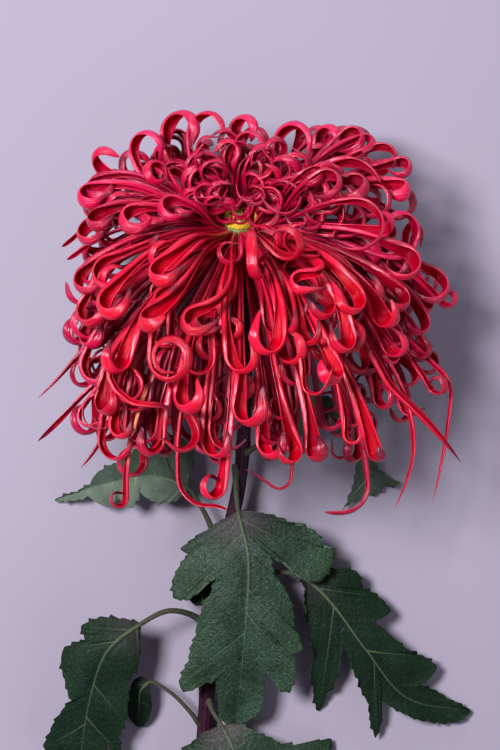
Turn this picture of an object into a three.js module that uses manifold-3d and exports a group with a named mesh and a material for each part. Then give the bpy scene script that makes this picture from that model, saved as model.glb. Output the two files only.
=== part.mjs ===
// A red spider chrysanthemum, cut with its stem and leaves and lying on its back.
// Millimetres, +Z up from the surface it lies on, +Y along the stem towards the bloom.
import * as THREE from "three";
import { mergeVertices } from "three/addons/utils/BufferGeometryUtils.js";
import Module from "manifold-3d";

const wasm = await Module();
wasm.setup();

// Driving dimensions, in millimetres unless said
const MM_PER_PIXEL = 0.5; // the picture's scale at the height of the bloom's middle
const PICTURE_MIDDLE = [250, 375];
const VIEW_DISTANCE = 1000; // from the viewpoint down to the bloom's middle
const HEAD_PIXEL = [240, 230];
const HEAD_HEIGHT = 70; // the bloom's middle above the surface
const HEAD_TILT = 37; // degrees that the bloom's axis leans up from the surface
const CORE_RADIUS = 10;
const CORE_FACETS = { around: 12, down: 8 };
// The disc's base is that far from the bloom's middle.
const DISC = { radius: 9, rise: 5, base: 5.5, rows: 5, facets: 18 };
const CUP_PROFILE = [[0, -6.2], [3.4, -6], [6.5, -3.6], [8.7, 0], [9.9, 4.4], [0, 4.6]]; // radius, height
const CUP_FACETS = 20;
const GAP = 0.3; // between neighbouring solids
const STEM_GAP = 0.4; // between the stem and the florets
const FLATNESS = 0.05; // facets closer to flat than this merge
const STEM_RADIUS = { top: 3.3, bottom: 4.2 };
const STEM_FACETS = { along: 24, around: 9 };
const STEM_KNOTS = { at: [0.36, 0.55, 0.58, 0.72, 0.86], swell: 0.55, length: 0.012 }; // shares of the stem
const FLORET_ROOT_WIDTH = 2.4;
const FLORET_TIP_WIDTH = 1.1;
const FLORET_KEEL = { root: 2.1, bend: 1.9, tip: 0.9 };
const CURL_TIGHTENING = 0.3; // share of its radius that a full turn loses
const REST_MARGIN = 0.7; // lowest that a floret's middle line is pressed to
const PRESS_SOFTNESS = 5;
const LAUNCH_SLOPE = { least: -50, most: 22 }; // degrees from square to the bloom's axis
const WIDENING = 1.5; // above 1, a floret stays narrow for longer before it opens
const WHORL_RISE = 24; // from the bloom's middle up its axis to where the inner florets part
const WHORL_ROOT = { out: 8.5, up: 1 }; // inner roots, from the bloom's middle
const WHORL_RIM = { out: 13, up: 11 }; // what they steer by as they pass the disc
const WHORL_SPREAD = 15; // a floret that ends further aside than this is rooted at the disc's side
const FLORET_TAPER = 1.7; // power of the narrowing towards the tip
const WIDEST = 0.3; // share of the way from the bend to the tip
const KEEL_INSIDE = 0.3; // share of a floret's keel that lies inside its middle line
const COIL = { pitch: 0.75, from: 0.4 }; // widths that a turn steps aside, and the turns that need it
const STALK_STEPS = 3;
const CURL_STEP = 52; // degrees
const BLADE_THICKNESS = 0.8;
const BLADE_REST = { margin: 0.5, softness: 2 };
const BLADE_WAVE = { along: 15, across: 0.05 }; // radians along the rib, and in a millimetre across it
const LEAF_STALK = { root: 1.9, tip: 1.1, least: 0.6, facets: 5, steps: 7, overlap: 0.4 };
const LARGE_LEAF = 50; // rib length from which a blade takes two steps from rib to edge
const LONG_LEAF = 100; // rib length of a leaf with a full stalk
const RAY_STEP = 0.006; // least share of the rib between two rays
const RIB_SAMPLES = 200;
const RAD = Math.PI / 180;

const vec = (x, y, z) => new THREE.Vector3(x, y, z);
const mix = (a, b, t) => a + (b - a) * t;
const smooth = (t) => t * t * (3 - 2 * t);
// A repeatable number from 0 to 1 for each floret and purpose.
const chance = (index, purpose) => {
  const value = Math.sin(index * 12.9898 + purpose * 78.233) * 43758.5453;
  return value - Math.floor(value);
};

// The point that a picture pixel shows, at a height above the surface.
function place(px, py, height) {
  const spread = (MM_PER_PIXEL * (VIEW_DISTANCE + HEAD_HEIGHT - height)) / VIEW_DISTANCE;
  return vec((px - PICTURE_MIDDLE[0]) * spread, (PICTURE_MIDDLE[1] - py) * spread, height);
}

const HEAD = place(...HEAD_PIXEL, HEAD_HEIGHT);
const AXIS = vec(0, Math.cos(HEAD_TILT * RAD), Math.sin(HEAD_TILT * RAD));
const ACROSS = vec(1, 0, 0);
const FRONT = ACROSS.clone().cross(AXIS); // square to the axis, down and towards the viewer
const UP = vec(0, 0, 1);

const MATERIALS = {
  floret: new THREE.MeshStandardMaterial({ color: 0xc00d28, roughness: 0.42, metalness: 0 }),
  disc: new THREE.MeshStandardMaterial({ color: 0xd9a514, roughness: 0.6, metalness: 0 }),
  leaf: new THREE.MeshStandardMaterial({ color: 0x24452f, roughness: 0.6, metalness: 0 }),
  stem: new THREE.MeshStandardMaterial({ color: 0x2c1a22, roughness: 0.55, metalness: 0 }),
  bract: new THREE.MeshStandardMaterial({ color: 0x37522b, roughness: 0.6, metalness: 0 }),
};

// Solids and meshes
function solidOf(geometry) {
  const bare = new THREE.BufferGeometry();
  const flat = geometry.index ? geometry.toNonIndexed() : geometry;
  bare.setAttribute("position", flat.getAttribute("position"));
  const merged = mergeVertices(bare, 1e-4);
  const solid = new wasm.Manifold(
    new wasm.Mesh({
      numProp: 3,
      vertProperties: new Float32Array(merged.attributes.position.array),
      triVerts: new Uint32Array(merged.index.array),
    }),
  );
  if (solid.volume() < 0) throw new Error("a solid is inside out");
  return solid;
}

function meshOf(solid, name, material) {
  const { numProp, numVert, vertProperties, triVerts } = solid.getMesh();
  const positions = new Float32Array(numVert * 3);
  for (let i = 0; i < numVert; i++)
    positions.set(vertProperties.subarray(i * numProp, i * numProp + 3), i * 3);
  const geometry = new THREE.BufferGeometry();
  geometry.setAttribute("position", new THREE.BufferAttribute(positions, 3));
  geometry.setIndex(new THREE.BufferAttribute(triVerts, 1));
  const mesh = new THREE.Mesh(geometry, material);
  mesh.name = name;
  return mesh;
}

const joined = (solids) => solids.reduce((a, b) => a.add(b));
// The largest body of a solid: loose scraps and sealed hollows go.
const largest = (solid) =>
  solid.decompose().reduce((a, b) => (b.volume() > a.volume() ? b : a));

// A closed skin over rings of points that all run the same way round.
function loft(rings) {
  const sides = rings[0].length;
  const points = rings.flat();
  const index = [];
  for (let r = 0; r + 1 < rings.length; r++)
    for (let s = 0; s < sides; s++) {
      const a = r * sides + s;
      const b = r * sides + ((s + 1) % sides);
      index.push(a, b, b + sides, a, b + sides, a + sides);
    }
  const last = (rings.length - 1) * sides;
  for (let s = 1; s + 1 < sides; s++) {
    index.push(0, s + 1, s);
    index.push(last, last + s, last + s + 1);
  }
  const geometry = new THREE.BufferGeometry().setFromPoints(points);
  geometry.setIndex(index);
  return geometry;
}

// A round rod along a curve, its radius a function of the share of the way along.
function rod(curve, radiusAt, steps, sides, to = 1) {
  const rings = [];
  let side = UP;
  for (let i = 0; i <= steps; i++) {
    const t = (to * i) / steps;
    const middle = curve.getPoint(t);
    const along = curve.getTangent(t);
    side = side.clone().addScaledVector(along, -side.dot(along)).normalize();
    const other = along.clone().cross(side);
    rings.push(
      Array.from({ length: sides }, (_, k) => {
        const turn = (2 * Math.PI * k) / sides;
        return middle
          .clone()
          .addScaledVector(side, Math.cos(turn) * radiusAt(t))
          .addScaledVector(other, Math.sin(turn) * radiusAt(t));
      }),
    );
  }
  return loft(rings);
}

const through = (points) =>
  new THREE.CatmullRomCurve3(points.map((p) => (Array.isArray(p) ? place(...p) : p)));

// Ray florets. Each is a tube at its root that opens to a ribbon, bends over and curls at its end.
// Lowers nothing below the surface: what would sink lies pressed along it.
const press = (height, lowest, softness) =>
  height > lowest + softness
    ? height
    : lowest + softness * Math.exp((height - lowest - softness) / softness);

// The middle line of a floret, with the share of its length at each point and where its curl begins.
function floretLine(floret) {
  const { root, leave, approach, start, run, into, radius, turns, tail } = floret;
  const stalk = new THREE.CubicBezierCurve3(root, leave, approach, start);
  const line = Array.from({ length: STALK_STEPS }, (_, i) => stalk.getPoint(i / STALK_STEPS));
  const bend = line.length;
  const across = run.clone().cross(into);
  const steps = Math.max(1, Math.round((turns * 360) / CURL_STEP));
  const angle = (turns * 2 * Math.PI) / steps;
  const aside = floret.width * COIL.pitch * turns * Math.max(0, turns - COIL.from);
  const at = start.clone();
  line.push(at.clone());
  for (let k = 0; k < steps; k++) {
    const heading = angle * (k + 0.5);
    const size = radius * (1 - CURL_TIGHTENING * ((k + 0.5) / steps) * turns);
    const chord = 2 * size * Math.sin(angle / 2);
    at.addScaledVector(run, Math.cos(heading) * chord);
    at.addScaledVector(into, Math.sin(heading) * chord);
    at.addScaledVector(across, aside / steps);
    line.push(at.clone());
  }
  const end = turns * 2 * Math.PI;
  const onward = run.clone().multiplyScalar(Math.cos(end)).addScaledVector(into, Math.sin(end));
  line.push(at.clone().addScaledVector(onward, tail));
  for (const p of line) p.z = press(p.z, REST_MARGIN, PRESS_SOFTNESS);
  const share = [0];
  for (let i = 1; i < line.length; i++) share.push(share[i - 1] + line[i].distanceTo(line[i - 1]));
  const length = share[share.length - 1];
  return { line, bend, across, share: share.map((s) => s / length) };
}

function floretSolid(floret) {
  const { line, bend, across, share } = floretLine(floret);
  const count = line.length;
  const along = line.map((_, i) =>
    line[Math.min(i + 1, count - 1)].clone().sub(line[Math.max(i - 1, 0)]).normalize(),
  );
  const square = (v, i) => v.clone().addScaledVector(along[i], -v.dot(along[i])).normalize();
  const wide = [];
  wide[bend] = square(across, bend);
  for (let i = bend + 1; i < count; i++) wide[i] = square(wide[i - 1], i);
  for (let i = bend - 1; i >= 0; i--) wide[i] = square(wide[i + 1], i);
  const peak = mix(share[bend], share[count - 1], WIDEST);
  const rings = line.map((p, i) => {
    const rising = Math.min(1, share[i] / peak);
    const falling = Math.max(0, (share[i] - peak) / (1 - peak));
    const width =
      mix(FLORET_ROOT_WIDTH, floret.width, smooth(rising ** WIDENING)) -
      (floret.width - FLORET_TIP_WIDTH) * falling ** FLORET_TAPER;
    const keel =
      mix(FLORET_KEEL.root, FLORET_KEEL.bend, rising) -
      (FLORET_KEEL.bend - FLORET_KEEL.tip) * falling;
    const inward = wide[i].clone().cross(along[i]);
    const rim = p.clone().addScaledVector(inward, keel * KEEL_INSIDE);
    return [
      rim.clone().addScaledVector(wide[i], width / 2),
      p.clone().addScaledVector(inward, keel * (KEEL_INSIDE - 1)),
      rim.clone().addScaledVector(wide[i], -width / 2),
    ];
  });
  return solidOf(loft(rings));
}

// A floret launched from the head towards its curl. Lift raises its root towards the bloom's axis, in
// degrees, and every root stays outside the disc.
function floretTo(start, run, into, radius, turns, tail, width, lift) {
  const rest = start.clone().sub(HEAD);
  const axial = rest.dot(AXIS);
  const radial = rest.addScaledVector(AXIS, -axial);
  const rise = Math.atan2(axial, radial.length()) / RAD + lift;
  const slope = Math.min(LAUNCH_SLOPE.most, Math.max(LAUNCH_SLOPE.least, rise)) * RAD;
  const launch = radial.normalize().multiplyScalar(Math.cos(slope));
  launch.addScaledVector(AXIS, Math.sin(slope));
  const reach = start.distanceTo(HEAD);
  const root = HEAD.clone().addScaledVector(launch, CORE_RADIUS * 0.5);
  const leave = HEAD.clone().addScaledVector(launch, reach * 0.5);
  const approach = start.clone().addScaledVector(run, -reach * 0.33);
  return { root, leave, approach, start, run, into, radius, turns, tail, width };
}

// Florets that the picture shows: pixel x and y where the curl begins, height there, heading in degrees
// anticlockwise from the picture's right, curl radius, turns (positive is anticlockwise), tilt of the
// curl towards the viewer in degrees, length of the straight tip, and width.
const SHOWN_FLORETS = [
  [252, 262, 146, 268, 6, 0.45, -60, 3, 10],
  [280, 335, 138, 266, 9, -0.55, 42, 10, 9],
  [230, 356, 134, 280, 8.5, 0.5, 40, 10, 8],
  [238, 404, 130, 264, 9, 0.55, 42, 9, 9.5],
  [151, 356, 132, 270, 11.5, 1.25, 25, 4, 7],
  [101, 398, 108, 262, 7, 0.6, 55, 5, 8],
  [101, 438, 94, 268, 10, 0.48, 32, 8, 6.5],
  [127, 424, 104, 272, 9, 0.5, 25, 6, 6],
  [126, 498, 98, 272, 4.2, -0.8, 30, 3, 5],
  [178, 476, 102, 272, 15, 0.25, 20, 11, 4],
  [194, 424, 118, 300, 9, -0.45, 30, 8, 7.5],
  [222, 486, 110, 262, 6, -0.8, 40, 4, 7.5],
  [296, 446, 112, 290, 6.5, -0.6, 45, 5, 8],
  [291, 478, 106, 262, 6, -0.33, 10, 16, 3.2],
  [313, 446, 114, 275, 6, 0.6, 65, 4, 9],
  [303, 382, 138, 272, 6, 0.4, 25, 12, 5],
  [336, 366, 130, 296, 6.5, -0.6, 55, 5, 9],
  [276, 252, 138, 318, 8.5, 0.8, 35, 4, 7],
  [302, 274, 146, 185, 5.5, 0.5, 35, 12, 7.5],
  [384, 376, 112, 297, 30, 0.06, 20, 44, 8],
  [413, 430, 98, 278, 45, -0.09, 20, 15, 4.4],
  [374, 450, 110, 286, 5, 0.5, 75, 2, 8.5],
  [368, 482, 90, 276, 14, -0.25, 10, 10, 5.5],
  [345, 434, 104, 270, 4.5, 0.55, 25, 3, 5],
  [440, 370, 82, 318, 16, -0.16, 20, 54, 4.6],
  [430, 388, 88, 300, 5, 0.9, 35, 2, 4.4],
  [426, 348, 78, 295, 5, -0.5, 35, 3, 4.6],
  [441, 302, 66, 310, 5, 0.9, 35, 2, 5.5],
  [428, 300, 60, 290, 5.5, -0.6, 50, 3, 8],
  [402, 408, 92, 290, 5, 0.3, 30, 6, 5.5],
  [405, 250, 92, 338, 9, -0.62, 35, 7, 10],
  [416, 236, 84, 80, 10, 0.6, 30, 4, 7],
  [350, 200, 110, 5, 14.5, -0.62, 25, 6, 6.5],
  [434, 271, 72, 335, 10, -0.55, 35, 3, 7.5],
  [398, 161, 72, 12, 5, -0.62, 35, 7, 7.5],
  [398, 184, 82, 352, 5, -0.5, 50, 6, 9],
  [344, 134, 56, 40, 7, -0.6, 40, 8, 8],
  [276, 146, 64, 86, 11, -0.52, 35, 9, 8.5],
  [318, 138, 50, 80, 6.5, -0.5, 40, 6, 8],
  [234, 130, 58, 84, 7, -0.52, 40, 6, 8.5],
  [190, 134, 64, 84, 11, -0.5, 35, 6, 7.5],
  [166, 132, 58, 82, 10.5, -0.55, 40, 7, 9.5],
  [134, 156, 60, 106, 9.5, -0.6, 35, 8, 8.5],
  [165, 170, 86, 122, 6.5, 1, 35, 3, 6],
  [112, 178, 66, 165, 9, 0.5, 45, 6, 9],
  [104, 172, 60, 150, 8, -0.5, 50, 5, 8],
  [92, 188, 84, 196, 7, 0.6, 45, 6, 9],
  [100, 212, 94, 205, 7, 0.6, 50, 5, 9],
  [80, 232, 70, 215, 30, 0.02, 20, 8, 3.6],
  [86, 246, 74, 212, 30, 0.02, 20, 8, 3.6],
  [108, 292, 118, 230, 9, 0.6, 45, 6, 9],
  [84, 270, 88, 222, 8, 0.55, 40, 6, 8],
  [162, 262, 140, 218, 8, 0.55, 48, 6, 10],
  [108, 258, 104, 200, 9.5, 0.5, 32, 10, 7],
  [82, 304, 92, 245, 8, 0.6, 35, 8, 7.5],
  [84, 358, 84, 250, 10, 0.55, 25, 8, 7],
  [76, 358, 68, 226, 60, 0.01, 20, 24, 4],
  [84, 394, 74, 224, 60, 0.01, 20, 29, 4.4],
  [82, 408, 82, 232, 6, 0.4, 20, 7, 4.4],
  [106, 428, 76, 242, 60, 0.01, 20, 20, 4],
  [128, 400, 120, 328, 14, 0.09, 20, 14, 5.5],
  [152, 312, 138, 216, 7, 0.5, 62, 5, 10],
  [196, 310, 142, 195, 7.5, 0.55, 38, 10, 8],
  [213, 356, 124, 275, 8, -0.45, 25, 6, 5.5],
  [126, 356, 116, 258, 8, -0.55, 55, 5, 10],
  [180, 392, 126, 262, 8, 0.6, 45, 5, 9],
  [206, 440, 112, 270, 8, 0.5, 40, 6, 8],
  [160, 440, 104, 266, 7, -0.55, 45, 5, 8],
  [349, 334, 132, 280, 7, -0.55, 50, 5, 10],
  [378, 312, 122, 292, 8, 0.5, 60, 4, 10],
  [356, 290, 136, 310, 8, -0.6, 45, 5, 9],
  [386, 346, 100, 300, 7, 0.6, 45, 5, 8],
  [262, 440, 108, 270, 8, 0.5, 45, 6, 8.5],
  [400, 290, 96, 320, 7, -0.6, 45, 6, 9],
  [350, 178, 96, 12, 7, -0.55, 40, 8, 9],
  [376, 232, 100, 350, 7, 0.6, 45, 6, 8],
  [318, 176, 104, 30, 8, -0.6, 40, 6, 8],
  [136, 208, 104, 190, 8, 0.6, 40, 6, 9],
  [176, 200, 108, 170, 7, 0.6, 40, 6, 8],
  [362, 137, 62, 15, 5, -0.45, 40, 5, 6],
  [374, 147, 66, 18, 9, -0.32, 35, 6, 6],
  [345, 161, 84, 2, 17, -0.18, 30, 5, 8],
  [90, 222, 84, 210, 8, 0.55, 45, 5, 8],
  [84, 330, 80, 250, 7, 0.6, 40, 5, 7.5],
  [424, 316, 74, 300, 7, -0.55, 40, 4, 8],
  [396, 330, 88, 305, 7, -0.6, 45, 5, 8],
  [113, 424, 110, 268, 6, 0.45, 35, 5, 7.5],
  [130, 436, 100, 285, 9, 0.42, 25, 6, 4],
  [94, 395, 92, 205, 9.5, 0.5, 15, 5, 2.6],
  [211, 428, 112, 268, 10, 0.35, 25, 6, 6],
  [396, 350, 92, 300, 5, -0.8, 40, 3, 4.5],
  [412, 350, 84, 300, 6, 0.5, 40, 4, 6],
  [330, 300, 128, 290, 7, -0.5, 45, 5, 8],
  [300, 330, 130, 275, 7, 0.5, 45, 5, 8],
];

const SHOWN_LIFT = 18; // degrees

function shownFloret([px, py, height, heading, radius, turns, tilt, tail, width]) {
  const run = vec(Math.cos(heading * RAD), Math.sin(heading * RAD), 0);
  const side = vec(-run.y, run.x, 0).multiplyScalar(Math.sign(turns));
  const into = side.multiplyScalar(Math.cos(tilt * RAD)).addScaledVector(UP, Math.sin(tilt * RAD));
  const start = place(px, py, height);
  return floretTo(start, run, into, radius, Math.abs(turns), tail, width, SHOWN_LIFT);
}

// Rings of florets round the rest of the bloom. Turn is measured round the upright line of the picture
// from the viewer's side. Out and drop say where the curls begin, and fall how steeply they hang there.
const RINGS = [
  { count: 6, from: 80, to: 280, out: 62, drop: 88, fall: 0.92, width: 7, lift: 10 },
  { count: 6, from: 80, to: 280, out: 76, drop: 44, fall: 0.75, width: 7.5, lift: 15 },
  { count: 5, from: 75, to: 285, out: 72, drop: 4, fall: 0.45, width: 8, lift: 20 },
  { count: 4, from: 110, to: 250, out: 48, drop: -28, fall: 0.1, width: 8, lift: 20 },
];
const RING_REACH = [0.88, 1.1]; // shares of a ring's reach, and below of its width
const RING_WIDTH = [0.8, 1.25];
const RING_DROP = 14; // millimetres up and down
const RING_SWING = 70; // degrees to either side
const RING_CURL = { radius: [5, 9], turns: [0.45, 0.85], tail: 6 };
const RING_REST = 5; // lowest height where a curl begins

function ringFlorets() {
  const florets = [];
  RINGS.forEach((ring, tier) => {
    for (let i = 0; i < ring.count; i++) {
      const id = tier * 100 + i;
      const turn = mix(ring.from, ring.to, (i + 0.3 + 0.4 * chance(id, 1)) / ring.count) * RAD;
      const out = vec(Math.sin(turn), 0, Math.cos(turn));
      const reach = ring.out * mix(...RING_REACH, chance(id, 2));
      const drop = ring.drop + mix(-RING_DROP, RING_DROP, chance(id, 3));
      const start = HEAD.clone().addScaledVector(out, reach).add(vec(0, -drop, 0));
      start.z = press(start.z, RING_REST, PRESS_SOFTNESS);
      const run = out.clone().multiplyScalar(1 - ring.fall).add(vec(0, -ring.fall, 0)).normalize();
      const sideways = run.clone().cross(out).normalize();
      const swing = mix(-RING_SWING, RING_SWING, chance(id, 4)) * RAD;
      const into = sideways.clone().cross(run).multiplyScalar(Math.cos(swing));
      into.addScaledVector(sideways, Math.sin(swing)).normalize();
      const radius = mix(...RING_CURL.radius, chance(id, 5));
      const turns = mix(...RING_CURL.turns, chance(id, 6));
      const width = ring.width * mix(...RING_WIDTH, chance(id, 7));
      florets.push(floretTo(start, run, into, radius, turns, RING_CURL.tail, width, ring.lift));
    }
  });
  return florets;
}

// The inner florets rise behind the disc and part at the dark middle of the whorl. Listed as above.
const WHORL_FLORETS = [
  [206, 185, 90, 178, 5.5, 0.5, 15, 8, 4.5],
  [214, 198, 92, 176, 30, 0.02, 15, 9, 3.6],
  [210, 176, 85, 168, 9, -0.32, 25, 5, 4.5],
  [216, 212, 88, 188, 5, -0.6, 40, 4, 5],
  [196, 196, 84, 190, 6, 0.55, 40, 5, 5.5],
  [249, 212, 94, 246, 5, -0.38, 35, 3, 5.5],
  [256, 188, 93, 352, 5, -0.5, 25, 4, 4],
  [272, 189, 91, 342, 6.8, -0.58, 20, 5, 4.4],
  [273, 196, 88, 345, 3.8, -0.65, 25, 3, 3.4],
  [287, 183, 92, 342, 9, -0.58, 20, 10, 5.5],
  [298, 179, 90, 350, 5.5, -0.34, 20, 7, 5.5],
  [312, 206, 93, 268, 12, -0.1, 20, 6, 5],
  [320, 216, 94, 282, 6, -0.28, 25, 6, 6.5],
  [341, 207, 92, 290, 10, -0.16, 20, 8, 6.5],
  [247, 166, 82, 70, 12, -0.16, 25, 5, 5],
  [226, 158, 78, 84, 8, -0.34, 35, 4, 5.5],
  [238, 150, 72, 88, 9, 0.34, 35, 4, 6],
  [205, 160, 78, 150, 7, -0.42, 30, 5, 6],
  [262, 177, 87, 8, 6, 0.36, 20, 5, 4.6],
  [272, 165, 80, 62, 7, 0.62, 25, 3, 5],
];

function whorlFlorets() {
  const middle = HEAD.clone().addScaledVector(AXIS, WHORL_RISE);
  return WHORL_FLORETS.map((row) => {
    const floret = shownFloret(row);
    const { start, run } = floret;
    const side = Math.min(1, Math.max(-1, (start.x - middle.x) / WHORL_SPREAD));
    const back = ACROSS.clone().multiplyScalar(side).addScaledVector(FRONT, Math.abs(side) - 1.1);
    back.normalize();
    const passing = ({ out, up }) => HEAD.clone().addScaledVector(back, out).addScaledVector(AXIS, up);
    const approach = start.clone().addScaledVector(run, -start.distanceTo(middle) / 2);
    return { ...floret, root: passing(WHORL_ROOT), leave: passing(WHORL_RIM), approach };
  });
}

// A round solid about the bloom's axis, from a profile of [radius, distance along the axis].
function turned(profile, segments, along) {
  const geometry = new THREE.LatheGeometry(
    profile.map(([r, h]) => new THREE.Vector2(r, h)),
    segments,
  );
  geometry.applyQuaternion(new THREE.Quaternion().setFromUnitVectors(vec(0, 1, 0), AXIS));
  return geometry.translate(...HEAD.clone().addScaledVector(AXIS, along).toArray());
}

function core(radius = CORE_RADIUS) {
  const ball = new THREE.SphereGeometry(radius, CORE_FACETS.around, CORE_FACETS.down);
  return solidOf(ball.translate(...HEAD.toArray()));
}

// The disc: a low dome of yellow tubular florets at the bloom's middle.
function discSolid(grow = 0) {
  const radius = DISC.radius + grow;
  const profile = [[0, -grow], [radius, -grow]];
  for (let i = 1; i < DISC.rows; i++) {
    const bow = (i / DISC.rows) * 90 * RAD;
    profile.push([radius * Math.cos(bow), (DISC.rise + grow) * Math.sin(bow)]);
  }
  profile.push([0, DISC.rise + grow]);
  return solidOf(turned(profile, DISC.facets, DISC.base));
}

// Leaves. Each half of a blade is a fan of rays from the rib to the points of its lobed, toothed edge.
// A point of a half blade: rib place u, edge point edge, v from rib to edge.
function bladePoint(leaf, ribLine, u, edge, v) {
  const rib = ribLine.getPointAt(u);
  const out = vec(edge.x - rib.x, edge.y - rib.y, 0);
  const lateral = out.length() * v;
  const p = rib.addScaledVector(out, v);
  const wave = leaf.wave * v * v * Math.sin(u * BLADE_WAVE.along + edge.x * BLADE_WAVE.across);
  p.z = press(p.z - leaf.droop * (lateral / 10) ** 2 + wave, BLADE_REST.margin, BLADE_REST.softness);
  return p;
}

// The edge on one side of a blade: each point with the rib place that its ray leaves from. Rays lean
// forwards and never cross.
function raysTo(ribLine, outline, lean) {
  const length = ribLine.getLength();
  const height = ribLine.getPointAt(0.5).z;
  let last = 0;
  const rays = outline.map(([px, py], i) => {
    const near = nearestOn(ribLine, place(px, py, height));
    const u = near.u - (lean * near.distance) / length;
    last = Math.min(1 - RAY_STEP * (outline.length - i), Math.max(last + RAY_STEP, u));
    return { u: last, point: place(px, py, ribLine.getPointAt(last).z) };
  });
  return [{ u: 0, point: ribLine.getPointAt(0) }, ...rays, { u: 1, point: ribLine.getPointAt(1) }];
}

// The place on a rib that lies nearest to a point in plan, and how far off it is.
function nearestOn(ribLine, point) {
  let best = { u: 0, distance: Infinity };
  for (let i = 0; i <= RIB_SAMPLES; i++) {
    const rib = ribLine.getPointAt(i / RIB_SAMPLES);
    const distance = Math.hypot(point.x - rib.x, point.y - rib.y);
    if (distance < best.distance) best = { u: i / RIB_SAMPLES, distance };
  }
  return best;
}

// The edge point of one side for a place on the rib.
function edgeAt(rays, u) {
  const next = Math.max(1, rays.findIndex((ray) => ray.u >= u - 1e-9));
  const [a, b] = [rays[next - 1], rays[next]];
  return a.point.clone().lerp(b.point, (u - a.u) / (b.u - a.u));
}

function bladeSolid(leaf, ribLine) {
  const left = raysTo(ribLine, leaf.left, leaf.lean);
  const right = raysTo(ribLine, leaf.right, leaf.lean);
  for (const ray of right) {
    const near = left.find((other) => Math.abs(other.u - ray.u) < RAY_STEP);
    if (near) ray.u = near.u;
  }
  const places = [...new Set([...left, ...right].map((ray) => ray.u))].sort((a, b) => a - b);
  const columns = ribLine.getLength() > LARGE_LEAF ? 2 : 1;
  const grid = places.map((u, i) => {
    const row = [];
    const end = i === 0 ? RAY_STEP : i === places.length - 1 ? 1 - RAY_STEP : u;
    for (let c = -columns; c <= columns; c++) {
      const edge = edgeAt(c < 0 ? right : left, end);
      row.push(bladePoint(leaf, ribLine, u, edge, Math.abs(c) / columns));
    }
    return row;
  });
  return solidOf(sheet(grid, BLADE_THICKNESS));
}

// A sheet of even thickness over a grid of points, split into triangles alike on both faces.
function sheet(grid, thickness) {
  const rows = grid.length;
  const columns = grid[0].length;
  const normal = (r, c) => {
    const a = grid[Math.min(r + 1, rows - 1)][c].clone().sub(grid[Math.max(r - 1, 0)][c]);
    const b = grid[r][Math.min(c + 1, columns - 1)].clone().sub(grid[r][Math.max(c - 1, 0)]);
    return a.cross(b).normalize();
  };
  const top = [];
  const bottom = [];
  for (let r = 0; r < rows; r++)
    for (let c = 0; c < columns; c++) {
      const n = normal(r, c);
      top.push(grid[r][c].clone().addScaledVector(n, thickness / 2));
      bottom.push(grid[r][c].clone().addScaledVector(n, -thickness / 2));
    }
  const under = top.length;
  const index = [];
  const quad = (a, b, c, d) => index.push(a, b, c, a, c, d);
  for (let r = 0; r + 1 < rows; r++)
    for (let c = 0; c + 1 < columns; c++) {
      const a = r * columns + c;
      quad(a, a + columns, a + columns + 1, a + 1);
      index.push(under + a, under + a + columns + 1, under + a + columns);
      index.push(under + a, under + a + 1, under + a + columns + 1);
    }
  const rim = (a, b) => quad(a, b, under + b, under + a);
  for (let c = 0; c + 1 < columns; c++) {
    rim(c, c + 1);
    rim((rows - 1) * columns + c + 1, (rows - 1) * columns + c);
  }
  for (let r = 0; r + 1 < rows; r++) {
    rim((r + 1) * columns, r * columns);
    rim(r * columns + columns - 1, (r + 1) * columns + columns - 1);
  }
  const geometry = new THREE.BufferGeometry().setFromPoints([...top, ...bottom]);
  geometry.setIndex(index);
  return geometry;
}

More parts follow.
